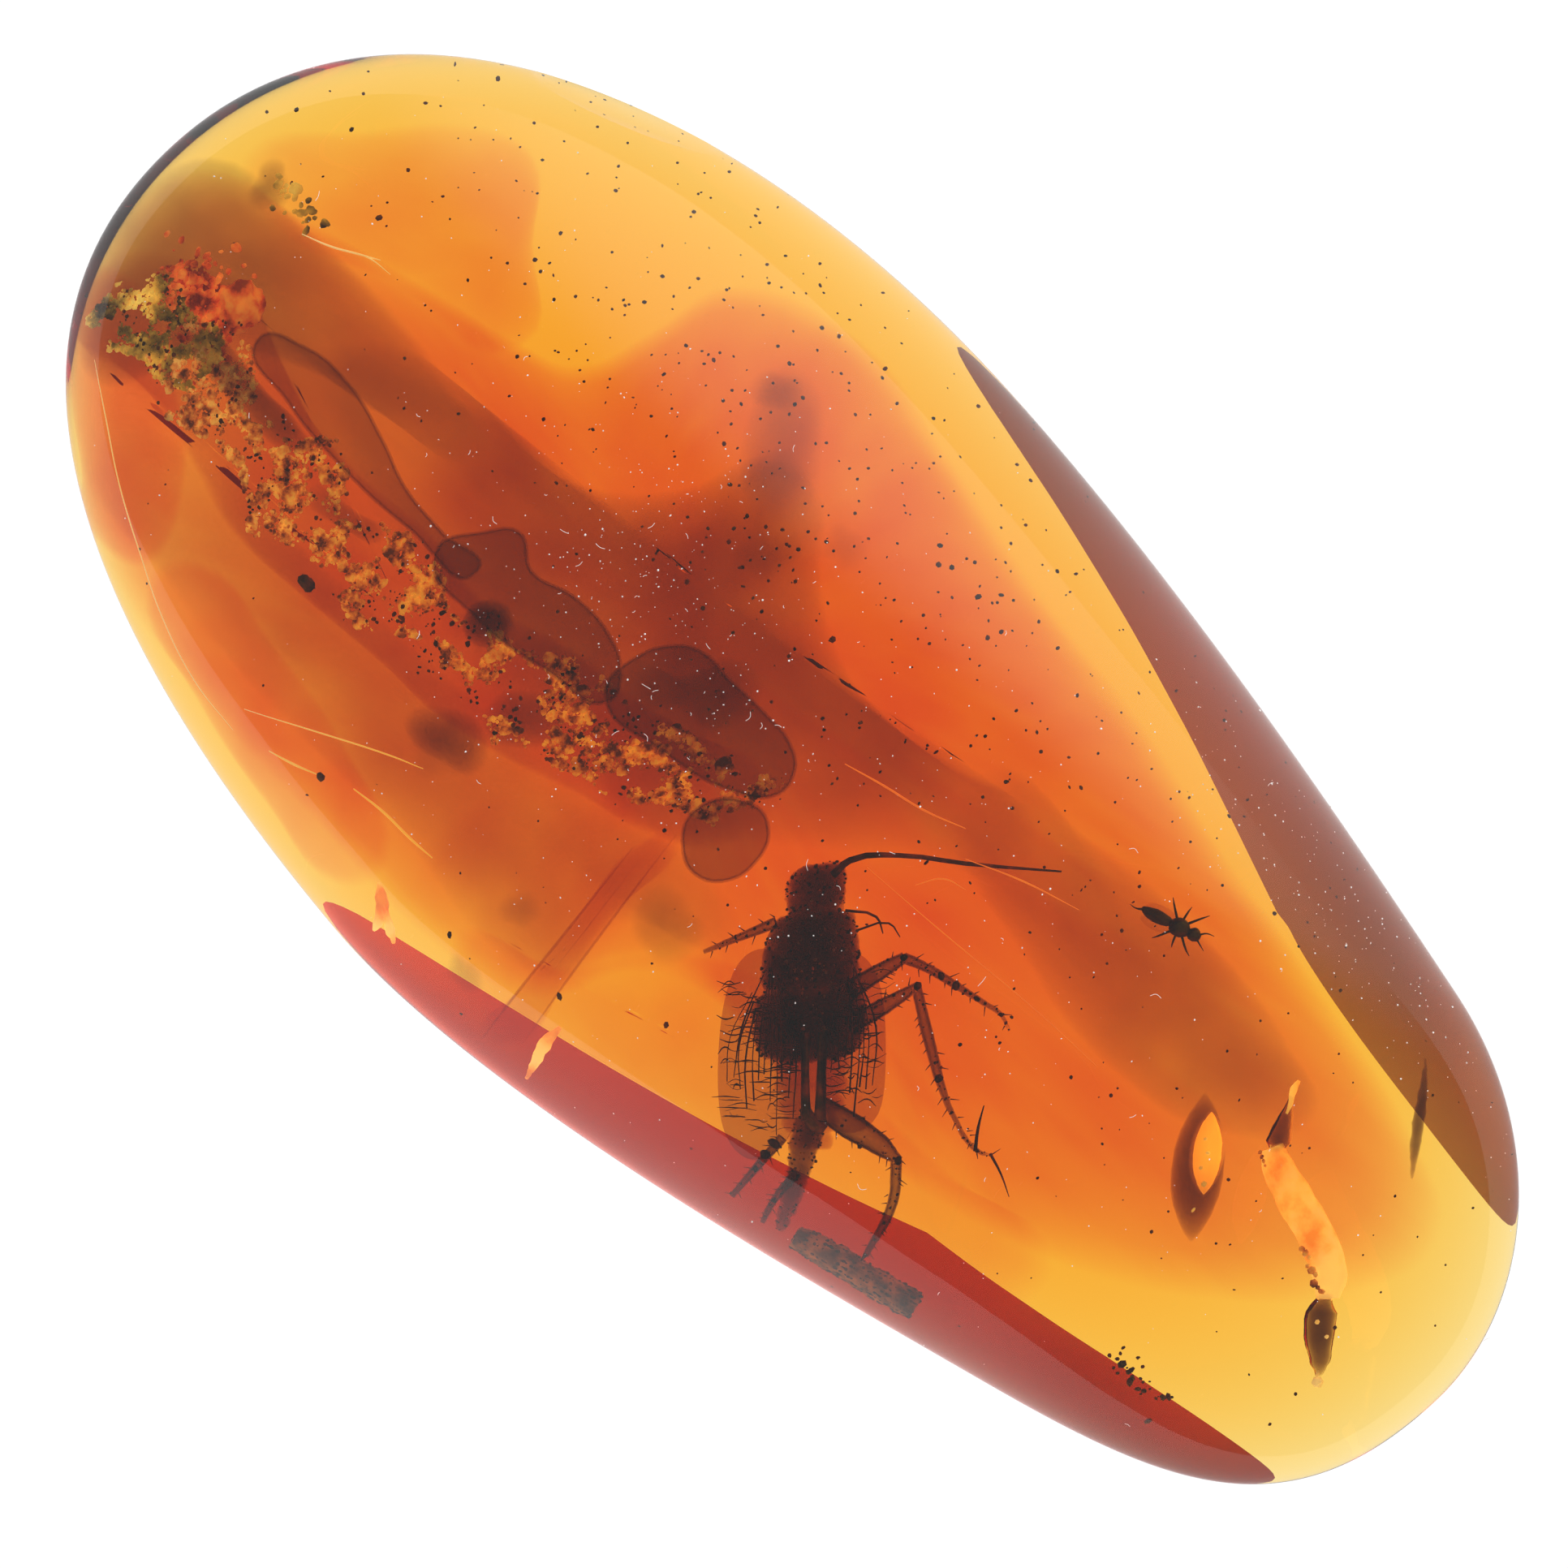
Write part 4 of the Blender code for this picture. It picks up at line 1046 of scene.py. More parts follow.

# %% [markdown]
# ## Bark debris
# Along the film runs a band of crumbled bark and resin. It has three layers: a thin brown sheet that light still comes
# through, hundreds of crumbs on top of it, and dark smudges. The crumbs' brightness from the front is partly a painted
# glow: their finishes also emit light in their own tones. One crumb is modelled. A set of geometry nodes then puts a
# copy at each of many places, turned and sized at random, and makes them one real mesh.


# %% Scatter one grain over many places
def scatter(name, grain, places, seed, uneven=0.35, squash=1.0):
    """Copies of one grain at places (x, y, z, radius), turned at random, joined in one mesh."""
    rng = random.Random(seed)
    points = bpy.data.meshes.new(name)
    points.from_pydata([place[:3] for place in places], [], [])
    sizes = points.attributes.new("size", "FLOAT_VECTOR", "POINT")
    turns = points.attributes.new("turn", "FLOAT_VECTOR", "POINT")
    for i, (_, _, _, radius) in enumerate(places):
        sizes.data[i].vector = [radius * (1 + rng.uniform(-uneven, uneven)) for _ in range(3)]
        sizes.data[i].vector[2] *= squash
        tilt = 3.14 if squash > 0.9 else 0.35
        turns.data[i].vector = (rng.uniform(-tilt, tilt), rng.uniform(-tilt, tilt), rng.uniform(-3.14, 3.14))
    made = bpy.data.objects.new(name, points)
    scene.collection.objects.link(made)
    tree = bpy.data.node_groups.new(name, "GeometryNodeTree")
    tree.interface.new_socket("Geometry", in_out="INPUT", socket_type="NodeSocketGeometry")
    tree.interface.new_socket("Geometry", in_out="OUTPUT", socket_type="NodeSocketGeometry")
    start, end = tree.nodes.new("NodeGroupInput"), tree.nodes.new("NodeGroupOutput")
    model = tree.nodes.new("GeometryNodeObjectInfo")
    model.inputs["Object"].default_value = grain
    put = tree.nodes.new("GeometryNodeInstanceOnPoints")
    for attribute, socket in (("size", "Scale"), ("turn", "Rotation")):
        read = tree.nodes.new("GeometryNodeInputNamedAttribute")
        read.data_type = "FLOAT_VECTOR"
        read.inputs["Name"].default_value = attribute
        tree.links.new(read.outputs["Attribute"], put.inputs[socket])
    real = tree.nodes.new("GeometryNodeRealizeInstances")
    tree.links.new(start.outputs[0], put.inputs["Points"])
    tree.links.new(model.outputs["Geometry"], put.inputs["Instance"])
    tree.links.new(put.outputs["Instances"], real.inputs["Geometry"])
    tree.links.new(real.outputs["Geometry"], end.inputs[0])
    made.modifiers.new("scatter", "NODES").node_group = tree
    apply_all(made)
    return made


def grain_of(name, cuts, lumps):
    """One crumb: a ball of few faces with its surface pushed in and out."""
    grain = begin(bpy.ops.mesh.primitive_ico_sphere_add, name, subdivisions=cuts, radius=1.0)
    return roughen(grain, lumps, 0.8)


small_grain = grain_of("small_grain", 1, 0.5)
large_grain = grain_of("large_grain", 2, 0.9)
print("faces of one crumb:", len(small_grain.data.polygons), len(large_grain.data.polygons))

# %% [markdown]
# The brown sheet and the smudges use the soft lens again, now with steep edges. A lens with a very low
# fullness is almost a flat plate.

# %% The brown sheet and the dark smudges of the band
bark_stain = stain_finish("bark_stain", (0.5, 1.1, 1.2))
smudge_stain = stain_finish("smudge_stain", (2.6, 3.0, 2.8))
BAND_OUTLINE = (
    (-18.8, -4.4), (-18.7, -3.2), (-17.4, -2.2), (-16.1, -1.6), (-14.5, -1.9), (-12.7, -2.2), (-11.0, -2.1),
    (-9.4, -1.8), (-7.3, -1.8), (-5.4, -1.15), (-3.3, -0.75), (-2.0, -0.35), (-0.5, 0.1), (0.2, -0.3), (-0.1, -1.5),
    (-1.3, -2.3), (-2.8, -2.8), (-4.6, -3.5), (-6.2, -4.0), (-7.8, -4.2), (-9.9, -4.6), (-12.4, -5.0),
    (-13.9, -4.8), (-15.6, -4.6), (-17.2, -4.9), (-18.3, -5.3),
)
SMUDGES = (
    ("smudge_long", (-14.3, -2.9, 3.9), 0.25, ((-16.8, -3.1), (-16.0, -2.7), (-15.2, -2.6), (-14.0, -2.6), (-12.8, -2.5), (-12.3, -2.7), (-12.7, -3.1), (-13.7, -3.3), (-14.8, -3.4), (-15.8, -3.4), (-16.4, -3.7))),
    ("smudge_thin", (-10.6, -2.9, 3.9), 0.12, ((-11.8, -3.2), (-10.7, -2.7), (-9.8, -2.6), (-10.5, -3.1))),
    ("smudge_lump", (-7.0, -2.1, 4.2), 0.3, ((-7.5, -2.2), (-7.3, -1.75), (-6.9, -1.6), (-6.5, -1.85), (-6.5, -2.3), (-6.8, -2.6), (-7.3, -2.55))),
    ("smudge_low", (-4.9, -2.8, 3.9), 0.14, ((-5.7, -2.9), (-5.3, -2.3), (-4.6, -2.0), (-4.1, -2.4), (-4.5, -3.2), (-5.3, -3.5))),
    ("smudge_high", (-2.8, 0.1, 3.9), 0.09, ((-4.3, -0.6), (-3.4, 0.0), (-3.0, 0.9), (-2.0, 1.0), (-1.9, -0.1), (-2.9, -0.5), (-3.6, -1.0))),
    ("smudge_edge", (-5.7, -4.3, 3.9), 0.13, ((-6.7, -4.6), (-6.1, -3.7), (-5.3, -3.5), (-4.7, -4.2), (-5.5, -4.7), (-6.3, -4.9))),
)
sheet = soft_lens("bark_sheet", BAND_OUTLINE, (-8.0, -3.2, 3.4), 0.4, 0.25)
rest(sheet, bark_stain)
for name, peak, half_depth, outline in SMUDGES:
    rest(soft_lens(name, outline, peak, half_depth, 0.9), smudge_stain)

# %% [markdown]
# Crumbs lie in drifts, with bare sheet between them. A slow noise decides where the drifts are: a place is
# kept only where the noise is high. At the end near the rim the crumbs are olive and yellow, further on they
# are gold and tan.

# %% Crumbs in drifts
BAND_PATH = (
    (-18.6, -4.3, 3.2, 0.7), (-17.2, -3.7, 3.3, 1.1), (-15.6, -3.4, 3.4, 1.2), (-13.6, -3.5, 3.5, 1.2),
    (-11.0, -3.4, 3.6, 1.25), (-8.8, -3.1, 3.6, 1.2), (-6.6, -2.7, 3.6, 1.2), (-4.6, -2.3, 3.7, 1.1),
    (-2.6, -1.6, 3.7, 1.0), (-0.6, -0.7, 3.7, 0.8),
)


def drifts(start, end, tries, sizes, threshold, seed, lift=0.3):
    """Places along the band between two x values, kept where a slow noise is above the threshold."""
    rng = random.Random(seed)
    kept = []
    for _ in range(tries):
        x = rng.uniform(start, end)
        for (x0, y0, z0, w0), (x1, y1, z1, w1) in zip(BAND_PATH, BAND_PATH[1:]):
            if x0 <= x <= x1:
                break
        t = (x - x0) / (x1 - x0)
        half = (w0 + t * (w1 - w0)) * (0.78 + 0.6 * noise.noise(Vector((x * 0.8, seed, 0.5))))
        y = y0 + t * (y1 - y0) + rng.uniform(-1, 1) * half
        if noise.noise(Vector((x * 1.9, y * 2.6, seed * 3.7))) + rng.uniform(-0.16, 0.16) < threshold:
            continue
        z = z0 + t * (z1 - z0) + lift + rng.uniform(-0.1, 0.12)
        kept.append((x, y, z, rng.uniform(*sizes) * rng.uniform(0.6, 1.0)))
    return kept


gold_bark_painted_glow = mottled(
    "gold_bark_painted_glow",
    ((0.36, (0.12, 0.03, 0.01)), (0.44, (0.5, 0.14, 0.04)), (0.52, (0.85, 0.4, 0.14)), (0.62, (1.0, 0.75, 0.4))),
    3600,
    0.5,
)
# Painted glow: the gold crumbs emit light in their own tones, as if lit from the front.
lit_through_with_painted_glow(gold_bark_painted_glow, 0.15, 0.24)
olive_bark_painted_glow = mottled(
    "olive_bark_painted_glow",
    ((0.34, (0.05, 0.03, 0.008)), (0.44, (0.3, 0.2, 0.04)), (0.56, (0.85, 0.6, 0.14)), (0.7, (0.98, 0.85, 0.35))),
    1500,
    0.4,
)
# Painted glow: the olive crumbs and golden flakes emit light in their own tones.
lit_through_with_painted_glow(olive_bark_painted_glow, 0.2, 0.25)
dark_bark = mottled("dark_bark", ((0.4, (0.02, 0.01, 0.006)), (0.65, (0.2, 0.06, 0.02))), 2500, 0.6)
crumbs = [
    scatter("crumbs_fine", small_grain, drifts(-16.5, -0.2, 8200, (0.03, 0.08), 0.0, 5), 6, squash=0.4),
    scatter("crumbs_coarse", large_grain, drifts(-16.0, -0.4, 900, (0.06, 0.17), 0.05, 5), 7, squash=0.3),
]
crumbs = settle(join(crumbs, "bark_crumbs_gold"))
rest(crumbs, gold_bark_painted_glow, smooth=0)
olive = settle(scatter("bark_crumbs_olive", small_grain, drifts(-18.2, -15.2, 3600, (0.03, 0.09), -0.05, 9), 8, squash=0.5))
rest(olive, olive_bark_painted_glow, smooth=0)
specks = settle(scatter("bark_crumbs_dark", small_grain, drifts(-18.0, -0.6, 1100, (0.02, 0.07), 0.14, 12, lift=0.36), 9, squash=0.4))
rest(specks, dark_bark, smooth=0)
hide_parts("bark_crumbs")

# %% [markdown]
# Three larger lumps stand out: a red one at the rim end, whose glow is painted light, a round black one at the film's
# first notch, and a flat brown one on the near edge.

# %% Lumps on the band
def lump(name, centre, half_sizes, lumps, finish, turn=0.0):
    made = begin(bpy.ops.mesh.primitive_ico_sphere_add, name, subdivisions=4, radius=1.0)
    roughen(made, lumps, 0.55)
    place = Matrix.Translation(centre) @ Matrix.Rotation(math.radians(turn), 4, "Z") @ Matrix.Diagonal((*half_sizes, 1))
    return rest(settle(made, place), finish, smooth=60)


# Painted glow: the red resin emits light in its own tones, so the red lump and red crumbs look lit.
red_resin_painted_glow = mottled("red_resin_painted_glow", ((0.38, (0.25, 0.02, 0.006)), (0.5, (0.75, 0.12, 0.03)), (0.64, (1.0, 0.4, 0.12))), 2200, 0.4)
lit_through_with_painted_glow(red_resin_painted_glow, 0.1, 0.28)
lump("red_lump", (-15.75, -1.95, 3.5), (0.55, 0.5, 0.4), 0.9, red_resin_painted_glow)
rng = random.Random(15)
reds = [(rng.gauss(-16.5, 0.5), rng.gauss(-2.5, 0.35), rng.uniform(3.2, 3.7), rng.uniform(0.03, 0.1)) for _ in range(420)]
rest(settle(scatter("red_crumbs", large_grain, reds, 16, squash=0.5)), red_resin_painted_glow, smooth=0)
for grain in (small_grain, large_grain):
    bpy.data.objects.remove(grain)
lump("brown_lump", (-10.3, -4.5, 4.0), (0.22, 0.14, 0.1), 0.8, dark_bark, 10)

# %% [markdown]
# ## Husk, case and sliver
# Three small pieces lie towards the far end. The husk is a boat-shaped shell, thick on one side: a hollow is cut out of
# a pointed body, off centre, so the thick side shows as a dark crescent and the thin side lets light through. Its
# golden window is painted light: a small body in the hollow glows, and a few glowing crumbs are painted glints. The
# case is a cream tube between two hollow, dark, glassy chambers, and the tube's brightness is partly a painted glow.
# The sliver is a splinter of bark.

# %% Seed husk
HUSK_PLACE = Matrix.Translation((12.1, 1.4, 3.9)) @ Matrix.Rotation(math.radians(-43), 4, "Z")


def boat(name, length, wide, high, shift=(0.0, 0.0)):
    """A body pointed at both ends, as long as twice length."""
    sections = []
    for k in range(-8, 9):
        t = k / 8.2
        swell = 1 - abs(t) ** 2.3
        sections.append((t * length, shift[0], shift[1], wide * swell, high * swell))
    return draw_out(name, sections, points=24)


husk = boat("seed_husk_shell", 1.6, 0.56, 0.5)
roughen(husk, 0.05, 0.25)
hollow = boat("husk_hollow", 0.95, 0.38, 0.42, shift=(0.16, 0.02))
hollow.location.x = -0.3
cut = husk.modifiers.new("hollow", "BOOLEAN")
cut.operation, cut.object, cut.solver = "DIFFERENCE", hollow, "EXACT"
apply_all(husk)
bpy.data.objects.remove(hollow)
husk_skin = stain_finish("husk_skin", (1.9, 2.4, 2.6))
rest(settle(husk, HUSK_PLACE), husk_skin, smooth=50)
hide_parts("seed_husk")
window = boat("husk_window", 0.88, 0.3, 0.14, shift=(0.18, 0.1))
window.location.x = -0.3
roughen(window, 0.04, 0.15)
# The golden window is painted light: a small body in the hollow that glows, though it is no lamp.
husk_window_painted_glow, nodes, links, shader = new_finish("husk_window")
shader.inputs["Base Color"].default_value = (1.0, 0.7, 0.3, 1)
shader.inputs["Transmission Weight"].default_value = 0.6
shader.inputs["Roughness"].default_value = 0.5
shader.inputs["Emission Color"].default_value = (1.0, 0.55, 0.14, 1)
shader.inputs["Emission Strength"].default_value = 0.5
rest(settle(window, HUSK_PLACE), husk_window_painted_glow, smooth=60)
# Painted glints: the pale crumbs glow, in the husk's window and as the case's bright end beads.
pale_crumb_painted_glow = mottled("pale_crumb_painted_glow", ((0.35, (0.9, 0.6, 0.25)), (0.6, (1.0, 0.85, 0.6))), 2500, 0.35)
lit_through_with_painted_glow(pale_crumb_painted_glow, 0.0, 0.5)
HUSK_GLINTS = [(-0.6, 0.12, 0.3, 0.05), (-0.3, 0.2, 0.3, 0.07), (0.0, 0.08, 0.3, 0.05), (0.35, 0.18, 0.3, 0.06), (0.9, 0.0, 0.3, 0.05)]
glint_grain = grain_of("glint_grain", 1, 0.4)
rest(settle(scatter("husk_glints", glint_grain, HUSK_GLINTS, 3), HUSK_PLACE), pale_crumb_painted_glow, smooth=0)

# %% Case and sliver
SHEATH = ((12.85, 2.8, 3.6, 0.24), (13.2, 2.65, 3.58, 0.32), (13.9, 2.5, 3.5, 0.37), (15.1, 2.3, 3.5, 0.4), (15.9, 2.0, 3.4, 0.38), (16.2, 1.7, 3.35, 0.26))
TIP = ((12.15, 4.05, 3.6, 0.03), (12.22, 3.85, 3.62, 0.08), (12.42, 3.6, 3.65, 0.06), (12.5, 3.45, 3.66, 0.03))
CHAMBERS = (
    ((12.3, 3.75, 3.6, 0.05), (12.6, 3.3, 3.6, 0.2), (12.85, 2.95, 3.6, 0.27), (12.98, 2.78, 3.6, 0.12)),
    ((16.1, 1.75, 3.35, 0.12), (16.35, 1.4, 3.3, 0.37), (16.75, 1.05, 3.25, 0.36), (17.2, 0.7, 3.2, 0.24), (17.4, 0.5, 3.15, 0.08)),
)
cream = mottled("cream_sheath_painted_glow", ((0.36, (0.8, 0.34, 0.1)), (0.48, (1.0, 0.66, 0.3)), (0.6, (1.0, 0.86, 0.58))), 1300, 0.5)
# Painted glow: the cream finish emits light in its own tones, which brightens the sheath and the chips.
lit_through_with_painted_glow(cream, 0.5, 0.4)
sheath = roughen(join([bars("sheath", (SHEATH,), detail=6, steps=8), bars("tip", (TIP,), detail=4, steps=6)], "case_sheath"), 0.08, 0.4)
rest(settle(sheath), cream, smooth=60)
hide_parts("case_tube")
chamber_glass = stain_finish("chamber_glass", (3.4, 4.6, 6.0), bends=0.85)
chambers = roughen(bars("case_chambers", CHAMBERS, detail=6, steps=8), 0.08, 0.3)
rest(settle(chambers), chamber_glass, smooth=60)
CRUST = [(15.0 + 0.13 * k, 1.95 - 0.045 * k + 0.05 * (k % 3), 3.75, 0.09 - 0.02 * (k % 2)) for k in range(9)]
CRUST += [(12.75 + 0.1 * k, 2.55 - 0.03 * k, 3.8, 0.05) for k in range(4)]
rest(settle(scatter("case_crust", glint_grain, CRUST, 4)), gold_bark_painted_glow, smooth=0)
END_BEAD = [(17.5, 0.38, 3.1, 0.12), (17.36, 0.5, 3.2, 0.07), (16.9, 1.15, 3.6, 0.06), (16.5, 1.2, 3.65, 0.05)]
rest(settle(scatter("case_beads", glint_grain, END_BEAD, 5)), pale_crumb_painted_glow, smooth=0)
bpy.data.objects.remove(glint_grain)

SLIVER = ((13.75, 6.35, 3.0, 0.03), (14.15, 5.95, 3.0, 0.1), (14.55, 5.5, 3.0, 0.15), (14.95, 5.05, 3.0, 0.13), (15.45, 4.55, 3.0, 0.03))
sliver_stain = stain_finish("sliver_stain", (6.0, 7.5, 8.0))
sliver = roughen(bars("sliver", (SLIVER,), detail=5, steps=8), 0.09, 0.22)
rest(settle(sliver), sliver_stain, smooth=60)
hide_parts("bark_sliver")

# %% [markdown]
# ## Cracks, threads and chips
# Fine lines run through the resin: a pair of dark ones with a stained gap between them, some bright cracks near the
# rim, a few hairs and threads. The brightness of the pale cracks and hairs and of the red threads is painted light:
# their finishes glow. All are round bars with very small radii.

# %% Fine lines
def line(points, z, radius):
    """A bar's path through points at one height, thin at both ends."""
    last = len(points) - 1
    return tuple((x, y, z, radius * (0.4 if i in (0, last) else 1.0)) for i, (x, y) in enumerate(points))


CRACK_LINES = (
    line(((-1.3, -2.7), (-0.9, -4.9), (-0.6, -6.8), (-0.3, -8.5)), 3.6, 0.04),
    line(((-0.9, -1.9), (-0.5, -3.7), (-0.1, -5.6), (0.35, -7.7)), 3.6, 0.035),
    line(((-1.05, -2.6), (-0.7, -4.3), (-0.4, -6.0)), 3.7, 0.02),
)
HAIRS = (
    line(((-16.4, 0.0), (-15.7, 0.3), (-15.2, 0.6), (-14.7, 0.9)), 6.0, 0.025),
    line(((-15.2, 0.6), (-14.9, 0.75), (-14.3, 0.85)), 6.0, 0.018),
    line(((-17.4, -5.3), (-16.2, -5.9), (-14.9, -6.6), (-13.3, -7.3), (-12.1, -7.8), (-10.5, -8.2), (-9.1, -8.2)), 3.9, 0.018),
    line(((-8.2, -7.8), (-7.6, -7.5), (-7.1, -7.2)), 4.0, 0.035),
    line(((-6.3, -6.7), (-5.5, -6.5), (-4.6, -6.4), (-4.0, -6.3)), 4.0, 0.035),
    line(((-9.3, -7.9), (-7.6, -6.6), (-6.3, -5.7), (-5.6, -5.3)), 5.0, 0.02),
)
THREADS = (
    line(((0.4, 1.3), (1.3, 1.6), (2.3, 1.9), (3.2, 2.3)), 6.0, 0.022),
    line(((3.4, 0.8), (3.7, 1.3), (4.2, 1.5)), 6.0, 0.018),
    line(((3.7, 1.9), (4.9, 2.5), (6.2, 3.0)), 6.0, 0.02),
    line(((2.4, 0.3), (4.6, 0.6), (7.2, 1.0), (9.0, 1.2)), 5.6, 0.012),
)
crack_stain = stain_finish("crack_stain", (5.0, 9.0, 10.0))
# Painted glint: the pale fibres emit light, which stands in for light caught by a crack.
pale_fibre_painted_glow = mottled("pale_fibre_painted_glow", ((0.4, (0.95, 0.75, 0.5)), (0.6, (1.0, 0.92, 0.8))), 900, 0.4)
shader = pale_fibre_painted_glow.node_tree.nodes["Principled BSDF"]
shader.inputs["Emission Color"].default_value = (1.0, 0.62, 0.22, 1)
shader.inputs["Emission Strength"].default_value = 0.55
# Painted glow: the red threads emit light in their own tone.
red_fibre_painted_glow = mottled("red_fibre_painted_glow", ((0.4, (0.8, 0.2, 0.06)), (0.6, (0.95, 0.45, 0.2))), 900, 0.4)
shader = red_fibre_painted_glow.node_tree.nodes["Principled BSDF"]
shader.inputs["Emission Color"].default_value = (1.0, 0.3, 0.1, 1)
shader.inputs["Emission Strength"].default_value = 0.5
rest(settle(bars("crack_lines", CRACK_LINES, detail=2, steps=8)), crack_stain)
rest(settle(bars("pale_hairs", HAIRS, detail=2, steps=6)), pale_fibre_painted_glow)
rest(settle(bars("red_threads", THREADS, detail=2, steps=6)), red_fibre_painted_glow)
CRACK_GAP = ((-1.3, -2.7), (-1.1, -4.0), (-0.9, -4.9), (-0.6, -6.8), (-0.3, -8.4), (0.3, -7.7), (-0.1, -5.6), (-0.5, -3.7), (-0.9, -1.9))
rest(soft_lens("crack_gap", CRACK_GAP, (-0.65, -4.9, 3.5), 0.25, 0.4), stain_finish("gap_stain", (0.35, 1.0, 1.2)))

# %% [markdown]
# ## Blotches, specks and dust
# Soft brown blotches hang in the resin. Hundreds of tiny dark specks are scattered through it, most of them on one
# side, and pale dust and lint lie on the polished dome; the dust and lint also get a painted highlight, because their
# finish glows. To keep a speck inside and dust on the surface, a ray is cast down through the stone at each place.

# %% Soft blotches
BLOTCHES = (
    (-6.6, 4.8, 0.55, 0.06), (-5.2, 3.7, 0.7, 0.05), (-4.1, 2.6, 0.65, 0.05), (-3.1, 3.8, 0.5, 0.03),
    (-5.7, -4.2, 0.85, 0.05), (0.4, -3.2, 0.8, 0.09), (-1.9, -5.3, 0.5, 0.05), (-1.7, -7.4, 0.5, 0.06), (-17.3, 0.1, 0.55, 0.12),
)
blotch_rng = random.Random(17)
for i, (x, y, radius, half_depth) in enumerate(BLOTCHES):
    turns = [2 * math.pi * k / 9 for k in range(9)]
    reaches = [radius * blotch_rng.uniform(0.7, 1.2) for _ in turns]
    outline = tuple((x + r * math.cos(a), y + r * math.sin(a)) for r, a in zip(reaches, turns))
    rest(soft_lens(f"blotch_{i + 1}", outline, (x, y, 3.2), half_depth, 1.2), smudge_stain)


# %% Specks inside and dust on top
def stone_at(x, y):
    """How high the underside and the dome are at a place, in mm, or None beside the stone."""
    met, top, _, _ = amber.ray_cast(Vector((x * MM, y * MM, 1.0)), Vector((0, 0, -1)))
    if not met:
        return None
    _, low, _, _ = amber.ray_cast(Vector((x * MM, y * MM, -1.0)), Vector((0, 0, 1)))
    return low.z / MM, top.z / MM


def within(tries, centre, spread, sizes, seed):
    """Places around a centre that are inside the stone, with a size each."""
    rng = random.Random(seed)
    kept = []
    for _ in range(tries):
        x, y = rng.gauss(centre[0], spread[0]), rng.gauss(centre[1], spread[1])
        heights = stone_at(x, y)
        if heights and heights[1] - heights[0] > 1.5:
            low, top = heights
            z = rng.uniform(low + 0.35, top - 0.35)
            kept.append((x, y, z, rng.uniform(*sizes) * rng.uniform(0.5, 1)))
    return kept


def on_top(tries, centre, spread, sizes, seed):
    """Places around a centre that lie on the dome, with a size each."""
    rng = random.Random(seed)
    kept = []
    for _ in range(tries):
        x, y = rng.gauss(centre[0], spread[0]), rng.gauss(centre[1], spread[1])
        heights = stone_at(x, y)
        if heights:
            kept.append((x, y, heights[1], rng.uniform(*sizes) * rng.uniform(0.4, 1)))
    return kept


mote = grain_of("mote", 1, 0.4)
dark_dots = within(520, (-6.0, 4.5), (7.0, 2.4), (0.03, 0.06), 21) + within(220, (6.0, 2.5), (8.0, 3.5), (0.025, 0.05), 22)
dark_dots += within(80, (-6.0, -3.0), (9.0, 4.0), (0.02, 0.045), 23)
BIG_DOTS = (
    (-15.3, 1.4, 0.08), (-1.5, 5.2, 0.08), (-1.8, 5.5, 0.06), (-0.4, 5.4, 0.07), (-0.1, 5.8, 0.06), (-17.4, 2.3, 0.06),
    (-18.6, 1.7, 0.06), (-1.8, 2.6, 0.07), (-7.0, -7.3, 0.1), (-2.5, -7.4, 0.09), (0.1, -6.3, 0.08), (2.1, -4.8, 0.09),
    (17.0, 1.4, 0.06), (-4.8, 1.2, 0.08),
)
dark_dots += [(x, y, min(4.5, stone_at(x, y)[1] - 0.5), radius) for x, y, radius in BIG_DOTS]
rest(settle(scatter("resin_specks", mote, dark_dots, 24)), dark_bark, smooth=0)
tuft = [(x, y, z * 0.15 + 2.6, radius) for x, y, z, radius in within(34, (14.9, -2.3), (0.5, 0.16), (0.04, 0.11), 25)]
rest(settle(scatter("brown_tuft", mote, tuft, 26)), dark_bark, smooth=0)
flakes = [(x, y, 4.0, radius) for x, y, _, radius in within(40, (-16.7, 0.35), (0.45, 0.15), (0.05, 0.16), 27)]
rest(settle(scatter("golden_flakes", mote, flakes, 28, squash=0.3)), olive_bark_painted_glow, smooth=0)
dust = on_top(620, (-2.0, 0.5), (9.0, 4.0), (0.01, 0.026), 31) + on_top(260, (-5.6, 0.8), (2.2, 1.8), (0.01, 0.026), 32)
dust += on_top(260, (10.5, 7.6), (3.5, 0.8), (0.01, 0.03), 33) + on_top(60, (2.0, -6.5), (6.0, 1.4), (0.01, 0.022), 34)
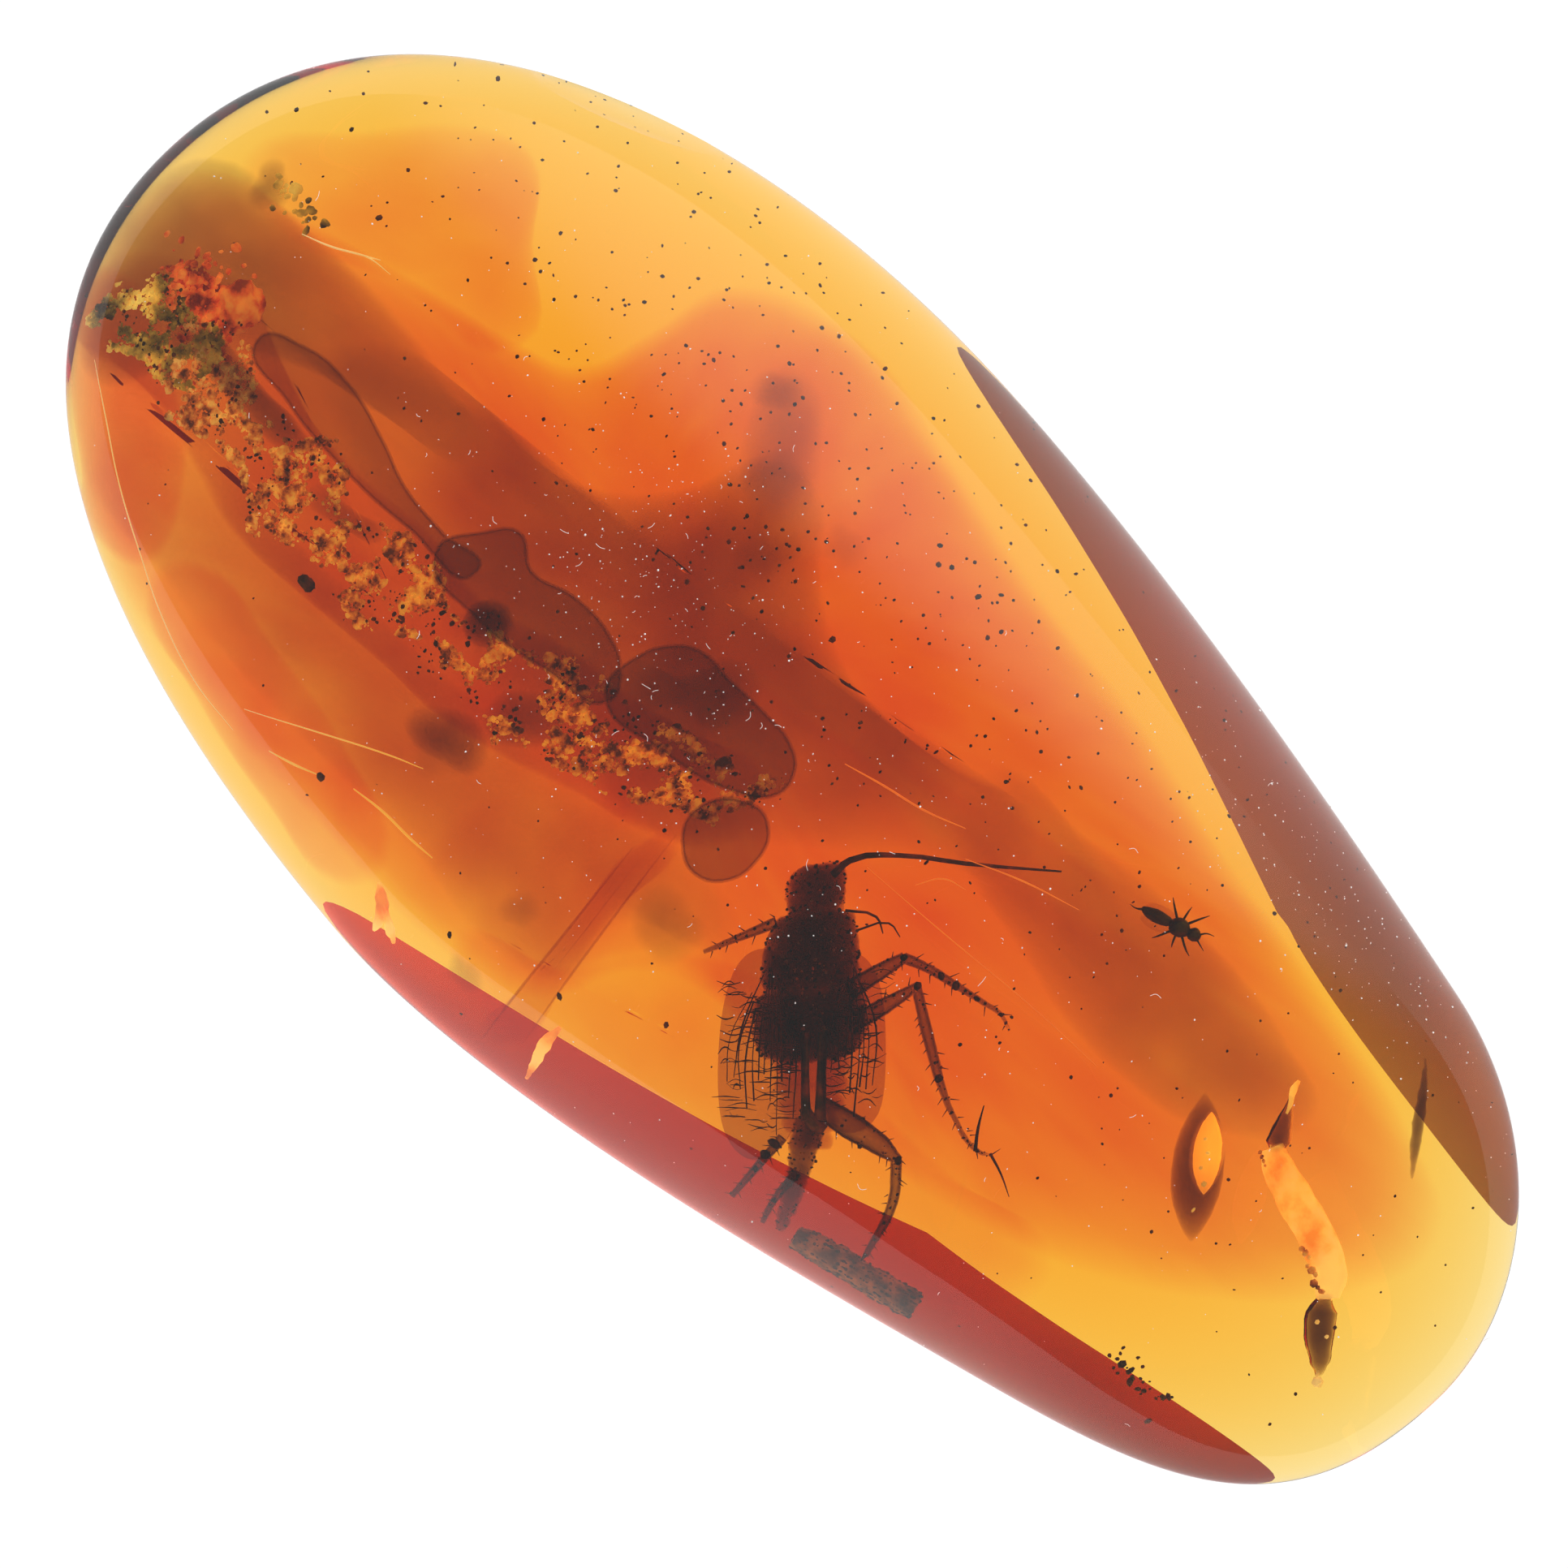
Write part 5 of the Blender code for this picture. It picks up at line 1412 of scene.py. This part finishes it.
# Painted highlight: the dust and lint finish glows, as specks caught by a light from the front.
white_dust_and_painted_glow = mottled("white_dust_and_painted_glow", ((0.4, (0.9, 0.88, 0.85)), (0.6, (1.0, 1.0, 0.98))), 900, 0.5)
lit_through_with_painted_glow(white_dust_and_painted_glow, 0.0, 0.35)
rest(settle(scatter("dust", mote, dust, 35)), white_dust_and_painted_glow, smooth=0)
rest(settle(scatter("insect_crust", mote, crust_places(body, 620, (0.014, 0.045), 51), 52, squash=0.3)), insect_skin, smooth=0)
leg_grit = crust_places(legs, 150, (0.015, 0.04), 53)
rest(settle(scatter("leg_grit", mote, leg_grit, 54)), insect_skin, smooth=0)
twig_crust = crust_places(twig, 420, (0.02, 0.07), 55)
rest(settle(scatter("twig_crust", mote, twig_crust, 56, squash=0.4)), dark_bark, smooth=0)
bpy.data.objects.remove(mote)

# %% Lint: short curled hairs on the dome
lint_rng = random.Random(41)
LINT = []
for x, y, _, length in on_top(30, (-5.0, 0.6), (2.5, 2.0), (0.1, 0.28), 42) + on_top(40, (2.0, 0.5), (8.0, 3.5), (0.08, 0.35), 43):
    turn, bend = lint_rng.uniform(0, 6.28), lint_rng.uniform(-1.2, 1.2)
    path = []
    for k in range(3):
        x, y = x + length * 0.5 * math.cos(turn), y + length * 0.5 * math.sin(turn)
        turn += bend
        heights = stone_at(x, y)
        path.append((x, y, (heights[1] if heights else 3.0) + 0.003, 0.005))
    LINT.append(tuple(path))
rest(settle(bars("lint", LINT, detail=0, steps=3)), white_dust_and_painted_glow, smooth=60)

# %% Chips at the ground edge
CHIPS = (
    ((0.55, -6.3, 2.7, 0.05), (0.6, -6.9, 2.75, 0.16), (0.8, -7.5, 2.75, 0.1), (0.95, -8.0, 2.8, 0.04)),
    ((-4.4, -7.4, 2.7, 0.04), (-4.1, -7.6, 2.7, 0.15), (-3.8, -8.0, 2.75, 0.14), (-3.7, -8.4, 2.8, 0.05)),
    ((-3.9, -7.7, 2.75, 0.06), (-3.5, -8.0, 2.8, 0.13), (-3.2, -8.2, 2.85, 0.05)),
)
# The chips share the cream finish, so their shine is a painted glow.
chips = roughen(bars("golden_chips", CHIPS, detail=4, steps=6), 0.12, 0.25)
rest(settle(chips), cream, smooth=50)
